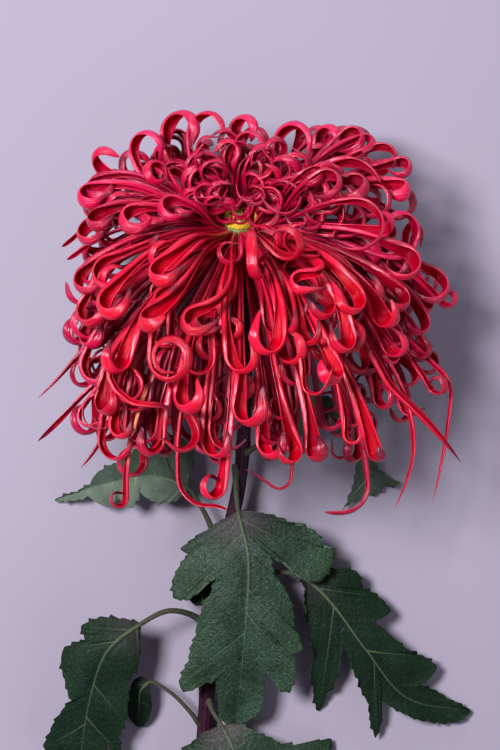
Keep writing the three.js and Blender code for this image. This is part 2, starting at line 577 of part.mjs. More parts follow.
// Each leaf: stalk from the stem to the blade and rib to the tip as [pixel x, pixel y, height]; the edge
// on the left and right of the rib, from stalk to tip, as [pixel x, pixel y]; droop, in millimetres at
// 10 mm from the rib; wave in millimetres; lean, how far its rays run forwards for each step aside.
const LEAVES = {
  leaf_front: {
    stalk: [[236, 466, 24], [236, 488, 29]],
    rib: [[238, 511, 33], [248, 556, 36], [246, 618, 34], [236, 725, 16]],
    left: [
      [227, 520], [203, 535], [180, 550], [192, 556], [180, 566], [172, 585], [174, 600], [189, 599],
      [204, 583], [220, 574], [210, 597], [201, 613], [196, 635], [189, 661], [179, 685], [183, 693],
      [204, 683], [217, 676], [219, 704], [222, 721],
    ],
    right: [
      [256, 513], [297, 526], [316, 532], [323, 549], [335, 549], [332, 566], [320, 583], [306, 582],
      [287, 563], [268, 554], [273, 575], [290, 600], [294, 630], [303, 652], [292, 656], [296, 671],
      [289, 694], [277, 683], [272, 666], [263, 664], [263, 687], [260, 712],
    ],
    droop: 0.2, wave: 1.2, lean: 1,
  },
  leaf_lower_left: {
    stalk: [[208, 632, 14], [195, 617, 20], [168, 611, 30]],
    rib: [[141, 624, 34], [109, 649, 35], [92, 690, 28], [74, 806, 4]],
    right: [
      [120, 619], [97, 619], [80, 628], [87, 641], [62, 651], [60, 662], [64, 680], [72, 700],
      [60, 714], [50, 732], [43, 750], [58, 764], [46, 782], [62, 790],
    ],
    left: [
      [140, 631], [136, 645], [138, 666], [126, 681], [127, 704], [124, 722], [118, 738], [119, 756],
      [106, 742], [102, 760], [104, 780], [90, 786],
    ],
    droop: 0.8, wave: 1.6, lean: 0.9,
  },
  leaf_lower_right: {
    stalk: [[224, 556, 18], [250, 568, 19], [274, 572, 20]],
    rib: [[299, 575, 21], [327, 598, 21], [366, 650, 18], [407, 698, 12], [470, 711, 3]],
    left: [
      [318, 575], [344, 569], [358, 573], [362, 590], [379, 598], [391, 613], [382, 619], [366, 619],
      [386, 631], [395, 640], [410, 655], [426, 659], [437, 668], [430, 678], [420, 685], [447, 699],
    ],
    right: [
      [306, 588], [312, 634], [316, 660], [315, 700], [320, 717], [327, 697], [336, 681], [339, 667],
      [341, 631], [351, 660], [358, 679], [370, 706], [377, 742], [381, 710], [380, 697], [407, 715],
      [427, 721], [458, 722],
    ],
    droop: 0.5, wave: 1.8, lean: 1.1,
  },
  leaf_upper_left: {
    stalk: [[221, 556, 19], [208, 520, 22], [197, 500, 24]],
    rib: [[187, 487, 25], [158, 476, 26], [104, 484, 16], [55, 500, 3]],
    right: [
      [190, 470], [193, 451], [180, 438], [165, 435], [158, 450], [140, 448], [120, 462], [96, 474],
      [90, 484], [78, 492],
    ],
    left: [
      [180, 497], [165, 503], [150, 500], [140, 492], [130, 508], [118, 496], [108, 507], [98, 503],
      [88, 496], [72, 500],
    ],
    droop: 0.6, wave: 1.6, lean: 0.5,
  },
  leaf_upper_right: {
    stalk: [[244, 454, 26], [254, 448, 28]],
    rib: [[268, 436, 28], [302, 404, 28], [344, 414, 20], [366, 462, 12], [372, 496, 5]],
    left: [
      [270, 414], [284, 400], [298, 384], [312, 396], [330, 398], [350, 400], [362, 424], [370, 448],
      [378, 470], [390, 480], [401, 483], [384, 486],
    ],
    right: [
      [284, 440], [304, 436], [318, 424], [334, 436], [346, 432], [354, 450], [354, 476], [348, 496],
      [341, 513], [356, 502], [364, 494],
    ],
    droop: 0.7, wave: 1.4, lean: 0.7,
  },
  leaf_bottom: {
    stalk: [[208, 700, 13], [213, 712, 17]],
    rib: [[222, 726, 20], [236, 756, 22], [250, 800, 15], [262, 862, 3]],
    right: [
      [209, 731], [191, 746], [174, 762], [180, 776], [176, 792], [184, 808], [202, 800], [222, 796],
      [210, 814], [204, 834], [216, 846], [234, 836], [246, 852],
    ],
    left: [
      [236, 724], [256, 733], [282, 746], [304, 752], [333, 745], [330, 764], [310, 778], [282, 782],
      [288, 806], [302, 832], [292, 846], [274, 842], [272, 856],
    ],
    droop: 0.6, wave: 1.4, lean: 0.3,
  },
  side_shoot: {
    stalk: [[200, 726, 11], [190, 712, 15], [170, 692, 18]],
    rib: [[150, 682, 18], [141, 690, 17], [139, 706, 12], [138, 727, 4]],
    left: [[150, 684], [150, 694], [152, 706], [149, 718], [144, 726]],
    right: [[142, 676], [134, 680], [130, 690], [128, 702], [128, 714], [132, 722]],
    droop: 0.7, wave: 0.4, lean: 0.3,
  },
  axil_leaf: {
    stalk: [[212, 616, 15], [207, 610, 18]],
    rib: [[204, 604, 19], [202, 594, 20], [205, 582, 20], [212, 568, 18]],
    left: [[196, 606], [189, 600], [190, 588], [197, 580], [202, 572]],
    right: [[210, 600], [214, 592], [212, 580]],
    droop: 0.7, wave: 0.4, lean: 0.5,
  },
};

const STEM_LINE = [
  [240, 268, 44],
  [246, 330, 32],
  [245, 400, 26],
  [243, 450, 23],
  [238, 492, 20],
  [222, 560, 16],
  [212, 622, 12.5],
  [207, 690, 9.5],
  [203, 752, 6.8],
  [198, 816, 4.6],
  [195, 872, 4.3],
];

function stemCurve() {
  const top = HEAD.clone().addScaledVector(AXIS, CUP_PROFILE[1][1] - CORE_RADIUS);
  return through([top, ...STEM_LINE]);
}

// The stem swells a little where leaves leave it.
function stemRadius(t) {
  const { at, swell, length } = STEM_KNOTS;
  const rise = at.reduce((sum, knot) => sum + swell * Math.exp(-(((t - knot) / length) ** 2)), 0);
  return mix(STEM_RADIUS.top, STEM_RADIUS.bottom, t) + rise;
}

function stemSolid(grow = 0) {
  const { along, around } = STEM_FACETS;
  return solidOf(rod(stemCurve(), (t) => stemRadius(t) + grow, along, around));
}

function leafSolid(leaf) {
  const ribLine = through(leaf.rib);
  const whole = through([...leaf.stalk, ...leaf.rib]);
  const { root, tip, least, facets, steps, overlap } = LEAF_STALK;
  const size = mix(least, 1, ribLine.getLength() / LONG_LEAF);
  const reach = (leaf.stalk.length + overlap) / (leaf.stalk.length + leaf.rib.length - 1);
  const stalk = rod(whole, (t) => mix(root, tip, t) * size, steps, facets, reach);
  return solidOf(stalk).add(bladeSolid(leaf, ribLine));
}

// The green cup that holds the bloom.
function cupSolid(grow = 0) {
  const widened = CUP_PROFILE.map(([r, h]) => [r ? r + grow : 0, h + (h < 0 ? -grow : grow)]);
  return solidOf(turned(widened, CUP_FACETS, -CORE_RADIUS));
}

const stem = stemSolid().subtract(cupSolid(GAP));
const cup = cupSolid().subtract(core(CORE_RADIUS + GAP));
const disc = discSolid();
const florets = [...SHOWN_FLORETS.map(shownFloret), ...ringFlorets(), ...whorlFlorets()];
let bloom = core().add(joined(florets.map(floretSolid)));
for (const neighbour of [stemSolid(STEM_GAP), cupSolid(GAP), discSolid(GAP)])
  bloom = bloom.subtract(neighbour);
bloom = largest(bloom.trimByPlane([0, 0, 1], 0).simplify(FLATNESS));

const flower = new THREE.Group();
flower.add(
  meshOf(bloom, "ray_florets", MATERIALS.floret),
  meshOf(disc, "disc_florets", MATERIALS.disc),
  meshOf(cup, "bract_cup", MATERIALS.bract),
  meshOf(stem, "stem", MATERIALS.stem),
);
const cleared = stemSolid(GAP);
for (const [name, leaf] of Object.entries(LEAVES)) {
  const whole = leafSolid(leaf).subtract(cleared).trimByPlane([0, 0, 1], 0);
  const solid = largest(whole.simplify(FLATNESS));
  flower.add(meshOf(solid, name, MATERIALS.leaf));
}

// The origin is the middle of the whole flower, on the surface.
const bounds = new THREE.Box3().setFromObject(flower);
flower.position.set(-(bounds.min.x + bounds.max.x) / 2, -(bounds.min.y + bounds.max.y) / 2, 0);

export default flower;
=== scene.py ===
import math

import bpy
import numpy as np
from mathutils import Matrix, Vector


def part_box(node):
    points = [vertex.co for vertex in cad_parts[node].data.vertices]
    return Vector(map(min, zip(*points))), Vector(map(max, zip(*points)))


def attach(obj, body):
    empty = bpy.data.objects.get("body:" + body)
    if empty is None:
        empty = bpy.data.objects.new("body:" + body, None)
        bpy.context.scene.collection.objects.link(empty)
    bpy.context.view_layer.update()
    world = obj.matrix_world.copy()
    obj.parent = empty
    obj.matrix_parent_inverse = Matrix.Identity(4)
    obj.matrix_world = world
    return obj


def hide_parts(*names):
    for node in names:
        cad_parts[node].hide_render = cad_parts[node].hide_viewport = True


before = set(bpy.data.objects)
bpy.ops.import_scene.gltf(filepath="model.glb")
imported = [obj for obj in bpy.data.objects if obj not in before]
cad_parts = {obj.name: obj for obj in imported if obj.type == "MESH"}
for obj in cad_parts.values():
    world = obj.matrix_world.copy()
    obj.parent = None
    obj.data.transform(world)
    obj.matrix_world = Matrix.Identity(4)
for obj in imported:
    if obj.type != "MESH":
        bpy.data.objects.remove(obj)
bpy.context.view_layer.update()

# A red spider chrysanthemum lying on its back. The drawing is in millimetres, as in the part's source,
# and every mesh is scaled to metres and moved onto the frame when it is made.

# Driving dimensions, in millimetres unless said
MM_PER_METRE = 1000
MM_PER_PIXEL = 0.5  # the picture's scale at the height of the bloom's middle
PICTURE_SIZE = (500, 750)
PICTURE_MIDDLE = (PICTURE_SIZE[0] / 2, PICTURE_SIZE[1] / 2)
VIEW_DISTANCE = 1000  # from the viewpoint down to the bloom's middle
HEAD_PIXEL = (240, 230)  # where the picture shows the bloom's middle
HEAD_HEIGHT = 70
HEAD_TILT = math.radians(37)  # how steeply its axis rises from the surface
CORE_RADIUS = 10  # the ball that the florets grow from
DISC_RADIUS = 9
DISC_RISE = 5
DISC_BASE = 5.5  # from the bloom's middle up its axis
STEM_RADIUS = (3.3, 4.2)  # under the bloom and at the foot
SURFACE_GAP = 0.02  # florets, stem and stalks stay this far above the surface


def vec(x, y, z):
    return np.array([x, y, z], float)


def unit(v):
    return v / np.linalg.norm(v)


def mix(a, b, t):
    return a + (b - a) * t


def smooth(t):
    return t * t * (3 - 2 * t)


def bell(distance, width):
    return np.exp(-((distance / width) ** 2))


def clamp(value, low=0, high=1):
    return min(high, max(low, value))


def chance(index, purpose):
    """A repeatable number from 0 to 1 for each floret, tube, bract or tooth and each purpose."""
    value = math.sin(index * 12.9898 + purpose * 78.233) * 43758.5453
    return value - math.floor(value)


def between(limits, index, purpose):
    return mix(*limits, chance(index, purpose))


def draws(index, first, *pairs):
    """Numbers between pairs of limits, for purposes that follow on from the first."""
    return [between(limits, index, purpose) for purpose, limits in enumerate(pairs, first)]


def place(px, py, height):
    """The point that a picture pixel shows, at a height above the surface."""
    spread = MM_PER_PIXEL * (VIEW_DISTANCE + HEAD_HEIGHT - height) / VIEW_DISTANCE
    return vec((px - PICTURE_MIDDLE[0]) * spread, (PICTURE_MIDDLE[1] - py) * spread, height)


HEAD = place(*HEAD_PIXEL, HEAD_HEIGHT)
AXIS = vec(0, math.cos(HEAD_TILT), math.sin(HEAD_TILT))
ACROSS = vec(1, 0, 0)
FRONT = vec(0, -math.sin(HEAD_TILT), math.cos(HEAD_TILT))
UP = vec(0, 0, 1)


def frame_shift():
    """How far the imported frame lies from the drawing: the disc's box shows where the head went."""
    low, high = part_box("disc_florets")
    base = HEAD + AXIS * DISC_BASE
    across = (low.x + high.x) / 2 * MM_PER_METRE - HEAD[0]
    along = low.y * MM_PER_METRE - (base[1] - DISC_RADIUS * math.sin(HEAD_TILT))
    return vec(across, along, 0)


SHIFT = frame_shift()


# Materials. Every piece has two colour attributes, look and place, whose channels drive its material.
class Nodes:
    """One material and short calls for its nodes."""

    def __init__(self, name, roughness, specular=0.5):
        self.material = bpy.data.materials.new(name)
        self.material.use_nodes = True
        self.tree = self.material.node_tree
        self.finish({"Roughness": roughness, "Specular IOR Level": specular})

    def finish(self, inputs):
        """Feeds the shader and gives the material."""
        for key, value in inputs.items():
            self.link(value, self.tree.nodes["Principled BSDF"].inputs[key])
        return self.material

    def link(self, value, socket):
        if isinstance(value, bpy.types.NodeSocket):
            self.tree.links.new(value, socket)
        else:
            socket.default_value = value

    def add(self, kind, inputs=(), **settings):
        node = self.tree.nodes.new(kind)
        for key, value in settings.items():
            setattr(node, key, value)
        for key, value in dict(inputs).items():
            self.link(value, node.inputs[key])
        return node

    def channels(self, attribute):
        """The three channels and the alpha of a vertex attribute."""
        node = self.add("ShaderNodeAttribute", attribute_name=attribute)
        split = self.add("ShaderNodeSeparateColor", {"Color": node.outputs["Color"]})
        return [split.outputs[0], split.outputs[1], split.outputs[2], node.outputs["Alpha"]]

    def where(self):
        return self.add("ShaderNodeNewGeometry").outputs["Position"]

    def math(self, operation, a, b=0, c=0):
        return self.add("ShaderNodeMath", {0: a, 1: b, 2: c}, operation=operation).outputs[0]

    def times(self, product, *factors):
        for factor in factors:
            product = self.math("MULTIPLY", product, factor)
        return product

    def plus(self, a, b):
        return self.math("ADD", a, b)

    def blend(self, factor, a, b):
        """From a to b, each a socket or a red, green and blue."""
        node = self.add("ShaderNodeMix", {"Factor": factor}, data_type="RGBA")
        for key, colour in ((6, a), (7, b)):
            self.link((*colour, 1) if isinstance(colour, tuple) else colour, node.inputs[key])
        return node.outputs[2]

    def layers(self, colour, *layers):
        """A colour under others, each laid on by its own factor."""
        for factor, above in layers:
            colour = self.blend(factor, colour, above)
        return colour

    def range(self, value, low, high, to_low=0, to_high=1):
        inputs = {"Value": value, "From Min": low, "From Max": high, "To Min": to_low, "To Max": to_high}
        return self.add("ShaderNodeMapRange", inputs).outputs["Result"]

    def vector(self, x, y, z):
        return self.add("ShaderNodeCombineXYZ", {"X": x, "Y": y, "Z": z}).outputs[0]

    def noise(self, scale, vector, detail):
        inputs = {"Scale": scale, "Detail": detail, "Vector": vector}
        return self.add("ShaderNodeTexNoise", inputs).outputs["Fac"]

    def bump(self, height, distance, strength):
        inputs = {"Height": height, "Distance": distance, "Strength": strength}
        return self.add("ShaderNodeBump", inputs).outputs["Normal"]


def floret_material():
    """Red, painted warmer and brighter at the bloom's lit front and darker behind, streaked with pink
    outside and darker inside, with painted highlights on the edges, glossy outside.
    """
    n = Nodes("floret", 0.22)
    along, across, tone, inside = n.channels("look")
    warm_and_lit, dry, flame, _ = n.channels("place")
    lanes = n.vector(n.times(across, 13), n.times(along, 1.6), n.times(tone, 60))
    streaks = n.noise(1, lanes, 3)
    fine = n.noise(2.6, lanes, 2)
    # Painted light mixed with a random tone: florets at the bloom's front get a brighter, warmer red, as
    # where the light falls, and the rest a darker, cooler one.
    red = n.blend(warm_and_lit, (0.5, 0, 0.05), (0.82, 0, 0.014))
    pink = n.blend(warm_and_lit, (0.62, 0.004, 0.12), (0.92, 0.008, 0.055))
    outside = n.layers(
        red,
        (n.range(streaks, 0.44, 0.66), pink),
        (n.range(fine, 0.35, 0.52, 0.5, 0), (0.24, 0, 0.008)),  # thin dark lines
    )
    within = n.blend(warm_and_lit, (0.19, 0, 0.016), (0.4, 0, 0.006))
    within = n.blend(n.range(streaks, 0.45, 0.7, 0, 0.5), within, red)
    edge = n.math("ABSOLUTE", n.math("MULTIPLY_ADD", across, 2, -1))
    streak = n.times(
        n.range(along, 0.5, 0.65), n.range(along, 0.7, 0.78, 1, 0), n.range(streaks, 0.35, 0.55, 0.3, 0.8)
    )
    body = n.layers(
        n.blend(inside, outside, within),
        (n.range(edge, 0.8, 1, 0, 0.5), (0.88, 0.02, 0.085)),  # painted highlight: pale edges where light glances off and shines through the thin rims
        (n.range(tone, 0, 1, 0.6, 0), (0.08, 0, 0.004)),  # painted shade on the deeper layers and in the whorl, with a random tone per floret
        (n.times(flame, streak), (0.72, 0.2, 0.02)),  # the orange streak
        (n.times(dry, n.range(along, 0.9, 0.985)), (0.06, 0.004, 0.018)),  # dry tips
    )
    return n.finish({
        "Base Color": body,
        "Normal": n.bump(n.plus(streaks, fine), 0.0006, 0.8),
        "Specular IOR Level": n.range(inside, 0, 1, 0.8, 0.12),
        "Specular Tint": (1, 0.42, 0.55, 1),
        "Coat Weight": n.range(inside, 0, 1, 0.2, 0),
        "Coat Roughness": 0.26,
        "Subsurface Weight": 0.35,
        "Subsurface Radius": (0.006, 0.0006, 0.0008),
        "Subsurface Scale": 1,
    })


def leaf_material():
    """Dull green with pale veins and a powder of short whitish hairs, paler beneath."""
    n = Nodes("leaf", 0.55)
    vein, rim, tone, beneath = n.channels("look")
    stalk, base, pale, _ = n.channels("place")
    where = n.where()
    patches = n.noise(60, where, 4)
    cells = n.add("ShaderNodeTexVoronoi", {"Vector": where, "Scale": 300}, feature="DISTANCE_TO_EDGE")
    puffs = n.range(cells.outputs["Distance"], 0, 0.22)
    tint = n.times(n.range(base, 0, 0.6, 0, 0.85), n.range(tone, 0.2, 0.9, 0.3, 1))
    hairs = n.times(
        n.range(n.noise(2300, where, 2), 0.57, 0.69),
        n.range(patches, 0.3, 0.65, 0.2, 0.65),
        n.range(tone, 0.2, 1, 0.25, 1),
    )
    body = n.layers(
        n.blend(n.range(patches, 0.35, 0.7), (0.003, 0.012, 0.006), (0.01, 0.029, 0.019)),
        (n.range(rim, 0.6, 1, 0, 0.55), (0.012, 0.03, 0.008)),
        (n.times(beneath, 0.55), (0.09, 0.13, 0.1)),
        (n.range(tone, 0, 1, 0.85, 0), (0.002, 0.006, 0.003)),  # shade
        (tint, (0.032, 0.021, 0.028)),
        (n.times(pale, n.range(patches, 0.3, 0.7, 0.5, 1)), (0.1, 0.13, 0.105)),
        (n.range(vein, 0.3, 1, 0, 0.6), (0.12, 0.16, 0.09)),
        (n.times(n.range(vein, 0.5, 1), pale), (0.3, 0.34, 0.28)),
        (n.times(n.range(puffs, 0, 0.6, 0.18, 0), tone), (0.026, 0.058, 0.036)),  # between the puffs
        (hairs, (0.16, 0.22, 0.2)),
        (stalk, (0.034, 0.036, 0.024)),
    )
    grain = n.plus(n.plus(n.noise(420, where, 3), n.times(puffs, 0.25)), n.times(vein, 0.6))
    return n.finish({
        "Base Color": body,
        "Normal": n.bump(grain, 0.0007, 0.8),
        "Specular IOR Level": n.range(tone, 0.2, 0.95, 0.05, 0.14),
        "Subsurface Weight": 0.05,
        "Subsurface Radius": (0.001, 0.002, 0.001),
        "Subsurface Scale": 1,
    })


def stem_material():
    """Dark purple, lighter on the ridges and green under the bloom, with pale specks and a pale cut face."""
    n = Nodes("stem", 0.45, 0.1)
    ridge, cut, green, _ = n.channels("look")
    where = n.where()
    body = n.layers(
        n.blend(n.range(n.noise(45, where, 4), 0.35, 0.7), (0.005, 0.001, 0.004), (0.022, 0.003, 0.012)),
        (n.times(ridge, 0.5), (0.045, 0.007, 0.026)),
        (n.times(green, 0.8), (0.03, 0.045, 0.018)),
        (n.range(n.noise(1900, where, 2), 0.6, 0.72, 0, 0.25), (0.13, 0.09, 0.12)),  # specks
        (cut, (0.45, 0.5, 0.3)),
    )
    return n.finish({"Base Color": body, "Normal": n.bump(n.noise(300, where, 3), 0.0004, 0.7)})


def plain_plant_material(name, low, high, roughness):
    """Two colours of one tissue, mixed by patches and along the piece."""
    n = Nodes(name, roughness, 0.35)
    along, _, tone, _ = n.channels("look")
    patches = n.noise(500, n.where(), 3)
    amount = n.times(n.plus(along, n.times(patches, 0.6)), 0.7)
    body = n.layers(
        n.blend(n.range(amount, 0, 1), low, high),
        (n.range(tone, 0, 1, 0.3, 0), tuple(0.35 * v for v in low)),  # shade
    )
    return n.finish({"Base Color": body, "Normal": n.bump(patches, 0.0002, 0.6)})


MATERIALS = {
    "floret": floret_material(),
    "leaf": leaf_material(),
    "stem": stem_material(),
    "disc": plain_plant_material("disc", (0.3, 0.22, 0.01), (0.85, 0.46, 0.02), 0.5),
    "bract": plain_plant_material("bract", (0.05, 0.09, 0.02), (0.12, 0.2, 0.06), 0.6),
}


def put(name, data):
    """A new object in the scene."""
    piece = bpy.data.objects.new(name, data)
    bpy.context.scene.collection.objects.link(piece)
    return piece


# Meshes
class Skin:
    """Points, faces and vertex attributes, gathered for one piece."""

    def __init__(self):
        self.points = []
        self.faces = []
        self.values = {"look": [], "place": []}
        self.count = 0

    def add(self, points, faces, look, placed=()):
        """Adds points with the channels of both attributes, each channel a number or an array."""
        self.points.append(points.reshape(-1, 3))
        self.faces.append(faces + self.count)
        self.count += len(self.points[-1])
        for key, channels in (("look", look), ("place", placed)):
            values = np.zeros((*points.shape[:-1], 4))
            for k, channel in enumerate(channels):
                values[..., k] = channel
            self.values[key].append(values.reshape(-1, 4))

    def add_rings(self, rings, look, placed=()):
        self.add(rings, ring_faces(*rings.shape[:2]), look, placed)

    def build(self, name, slot, *nodes):
        points = (np.concatenate(self.points) + SHIFT) / MM_PER_METRE
        faces = np.concatenate(self.faces)
        mesh = bpy.data.meshes.new(name)
        mesh.from_pydata(points.tolist(), [], faces.tolist())
        for key, parts in self.values.items():
            attribute = mesh.attributes.new(key, "FLOAT_COLOR", "POINT")
            attribute.data.foreach_set("color", np.concatenate(parts).astype(np.float32).ravel())
        mesh.shade_smooth()
        mesh.materials.append(MATERIALS[slot])
        piece = put(name, mesh)
        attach(piece, "root")
        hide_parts(*nodes)


def ring_faces(rings, sides):
    """Quads over rings of points that all run the same way round, as triangles, with closed ends."""
    r, s = np.meshgrid(np.arange(rings - 1), np.arange(sides), indexing="ij")
    a = (r * sides + s).ravel()
    b = (r * sides + (s + 1) % sides).ravel()
    walls = np.concatenate([np.stack([a, b, b + sides], 1), np.stack([a, b + sides, a + sides], 1)])
    last = (rings - 1) * sides
    k = np.arange(1, sides - 1)
    start = np.stack([np.zeros_like(k), k + 1, k], 1)
    end = np.stack([np.full_like(k, last), last + k, last + k + 1], 1)
    return np.concatenate([walls, start, end])


def catmull(points, count):
    """A smooth line through points, like the centripetal curve of the part's source."""
    p = np.array(points, float)
    p = np.vstack([2 * p[0] - p[1], p, 2 * p[-1] - p[-2]])
    spans = len(p) - 3
    line = []
    for i in range(count):
        t = i / (count - 1) * spans
        k = min(int(t), spans - 1)
        line.append(centripetal(p[k : k + 4], t - k))
    return np.array(line)


def centripetal(p, u):
    steps = [max(1e-6, np.linalg.norm(p[i + 1] - p[i]) ** 0.5) for i in range(3)]
    m1 = (p[1] - p[0]) / steps[0] - (p[2] - p[0]) / (steps[0] + steps[1]) + (p[2] - p[1]) / steps[1]
    m2 = (p[2] - p[1]) / steps[1] - (p[3] - p[1]) / (steps[1] + steps[2]) + (p[3] - p[2]) / steps[2]
    m1, m2 = m1 * steps[1], m2 * steps[1]
    d = p[1] - p[2]
    return p[1] + u * (m1 + u * ((-3 * d - 2 * m1 - m2) + u * (2 * d + m1 + m2)))


def stations(line):
    """How far along a line each of its points lies."""
    return np.concatenate([[0], np.cumsum(np.linalg.norm(np.diff(line, axis=0), axis=1))])


def evenly(line, count):
    """The same line with points at even distances."""
    along = stations(line)
    at = np.linspace(0, along[-1], count)
    return np.stack([np.interp(at, along, line[:, k]) for k in range(3)], 1)


def directions(line):
    ends = np.vstack([line[:1], line, line[-1:]])
    along = ends[2:] - ends[:-2]
    return along / np.linalg.norm(along, axis=1)[:, None]


def square_to(way, along):
    return unit(way - along * (way @ along))


def carried(across, along, start):
    """A side direction carried along a line from one station without twisting."""
    wide = np.zeros_like(along)
    wide[start] = square_to(across, along[start])
    for i in range(start + 1, len(along)):
        wide[i] = square_to(wide[i - 1], along[i])
    for i in range(start - 1, -1, -1):
        wide[i] = square_to(wide[i + 1], along[i])
    return wide


def beside(line, side, other, x, y):
    """Rings of points: x along side and y along other from each point of a line."""
    return line[:, None] + side[:, None] * x[..., None] + other[:, None] * y[..., None]


def circle(sides):
    return np.arange(sides) * 2 * math.pi / sides


def rod(skin, line, radii, sides, look, placed=(), flute=0.0, flutes=0):
    """A closed round rod along a line, fluted lengthwise if asked."""
    along = directions(line)
    side = carried(UP + vec(0.01, 0.02, 0), along, 0)
    turn = circle(sides)
    reach = radii[:, None] * (1 + flute * np.cos(flutes * turn))
    points = beside(line, side, np.cross(along, side), np.cos(turn) * reach, np.sin(turn) * reach)
    points[..., 2] = np.maximum(points[..., 2], SURFACE_GAP)
    skin.add_rings(points, look, placed)


# Ray florets: each has a narrow stalk that leaves the bloom's middle, opens near its bend, curls in a
# spiral and ends in a short tip. Lengths are in millimetres, limits are those of a random draw.
FLORET_ROOT_WIDTH = 2.4
FLORET_TIP_WIDTH = 1.1
FLORET_THICKNESS = 0.5
CURL_TIGHTENING = 0.3
SPIRAL_START = 0.4  # turns after which a curl begins to step aside, clear of its own start
SPIRAL_STEP = 0.75  # how far it does in a turn, as a share of its width
REST_MARGIN = 0.7
PRESS_SOFTNESS = 5
LAUNCH_SLOPE = (-50, 22)  # degrees from square to the bloom's axis
SHOWN_LIFT = 18  # degrees that a listed floret leaves more steeply than its curl lies
WIDENING = 2.1  # above 1, a floret stays narrow for longer before it opens
NARROWING = 1.7
WIDEST = 0.3  # share of the way from bend to tip
TUBE_HALF_ANGLES = (2.9, 2.8, 2.2)  # half the angle that the section spans, up to the bend: nearly a tube
TIP_HALF_ANGLE = 1.5
FLATNESS = (0.95, 0.6, 0.6, 0.95, 0.8)
OPENING = (0.85, 1.3)  # half angle at the widest place
RELAX = (-0.5, 0.5)  # how far the tip turns on from the curl
SWAY = (-1.2, 1.2)
STALK_TWIST = (-0.7, 0.7)
CURL_TWIST = (-0.8, 0.8)
WIDTH_WAVE = 0.09
RIDGE_DEPTH = 0.07
DRY_CHANCE = 0.45  # below this a floret's tip stays red
STALK_STEPS = 13
TAIL_STEPS = 6
CURL_STEP = 9  # degrees
SECTION_POINTS = 8  # across each face


def press(height, lowest=REST_MARGIN, softness=PRESS_SOFTNESS):
    """Keeps heights above the surface: what would sink lies pressed along it."""
    sunk = lowest + softness * np.exp((np.minimum(height, lowest + softness) - lowest - softness) / softness)
    return np.where(height > lowest + softness, height, sunk)


def floret_line(f):
    """The middle line of a floret, whose curl begins at station STALK_STEPS, and its side direction."""
    start, run, into, turns = f["start"], f["run"], f["into"], f["turns"]
    t = np.linspace(0, 1, STALK_STEPS + 1)[:-1, None]
    stalk = f["root"] * (1 - t) ** 3 + f["leave"] * 3 * t * (1 - t) ** 2
    stalk = stalk + f["approach"] * 3 * t * t * (1 - t) + start * t**3
    across = np.cross(run, into)

    def towards(angle):
        return np.outer(np.cos(angle), run) + np.outer(np.sin(angle), into)

    steps = max(3, math.ceil(turns * 360 / CURL_STEP))
    angle = turns * 2 * math.pi / steps
    middles = np.arange(steps) + 0.5
    chord = 2 * f["radius"] * (1 - CURL_TIGHTENING * middles / steps * turns) * math.sin(angle / 2)
    side_step = f["width"] * SPIRAL_STEP * (turns / steps) * max(0, turns - SPIRAL_START)
    moves = towards(angle * middles) * chord[:, None] + across * side_step
    curl = start + np.vstack([np.zeros(3), np.cumsum(moves, axis=0)])
    end = turns * 2 * math.pi + f["relax"] * np.linspace(0, 1, TAIL_STEPS)
    tail = curl[-1] + np.cumsum(towards(end) * f["tail"] / TAIL_STEPS, axis=0)
    line = np.vstack([stalk, curl, tail])
    line[:, 2] = press(line[:, 2])
    return line, across


def floret_section(f, share, bend, peak):
    """Width, half the angle that the section spans, and how far it is flattened, along a floret."""
    rising = np.clip(share / peak, 0, 1)
    falling = np.clip((share - peak) / (1 - peak), 0, 1)
    width = mix(FLORET_ROOT_WIDTH, f["width"], smooth(rising**WIDENING))
    width -= (f["width"] - FLORET_TIP_WIDTH) * falling**NARROWING
    spans = [*TUBE_HALF_ANGLES, f["open"], TIP_HALF_ANGLE]
    half = np.interp(share, [0, bend * 0.8, bend * 0.98, peak, 1], spans)
    flat = np.interp(share, [0, bend * 0.35, bend, peak, 1], FLATNESS)
    return width, half, flat


def add_floret(skin, f, number):
    line, across = floret_line(f)
    share = stations(line)
    share /= share[-1]
    bend = share[STALK_STEPS]
    stalk = np.clip(share / bend, 0, 1)
    beyond = np.clip((share - bend) / (1 - bend), 0, 1)
    wander = np.sin(stalk * math.pi) * np.sin(stalk * 7 + 6 * chance(number, 28))
    line += across * (between(SWAY, number, 27) * wander)[:, None]
    line[:, 2] = np.maximum(line[:, 2], REST_MARGIN)
    along = directions(line)
    wide = carried(across, along, STALK_STEPS)
    inward = np.cross(wide, along)
    twist = between(STALK_TWIST, number, 21) * (1 - stalk) ** 1.3
    twist += between(CURL_TWIST, number, 29) * beyond**1.5
    cos, sin = np.cos(twist)[:, None], np.sin(twist)[:, None]
    wide, inward = wide * cos + inward * sin, inward * cos - wide * sin
    width, half, flat = floret_section(f, share, bend, mix(bend, 1, WIDEST))
    width *= 1 + WIDTH_WAVE * np.sin(share * 19 + 6 * chance(number, 30)) * smooth(np.minimum(1, share * 2))
    width, half, flat = width[:, None], half[:, None], flat[:, None]
    radius = width / 2 / np.sin(np.minimum(half, math.pi / 2))
    u = np.linspace(-1, 1, SECTION_POINTS)
    turn = half * u
    ridges = RIDGE_DEPTH * np.cos(u * math.pi * 3) * np.minimum(1, width / 4)
    sag = (radius - ridges) * (1 - np.cos(turn)) * flat + ridges - 0.6 * radius * (1 - np.cos(half)) * flat
    thick = FLORET_THICKNESS * (1 - 0.6 * u**4) * np.minimum(1, width / 2.2)
    outer = beside(line, wide, inward, radius * np.sin(turn), sag)
    inner = beside(line, wide, inward, (radius - thick) * np.sin(turn), sag + thick * np.cos(turn))
    ring = np.concatenate([outer[:, ::-1], inner], axis=1)
    ring[-1] = mix(line[-1], ring[-1], 0.35)
    ring[..., 2] = np.maximum(ring[..., 2], SURFACE_GAP)
    place_across = np.concatenate([u[::-1], u]) * 0.5 + 0.5
    inside = np.arange(2 * SECTION_POINTS) >= SECTION_POINTS
    look = (share[:, None], place_across, chance(number, 22) * f["light"], inside)
    skin.add_rings(ring, look, (f["warm_and_lit"], chance(number, 23) > DRY_CHANCE, f["flame"]))


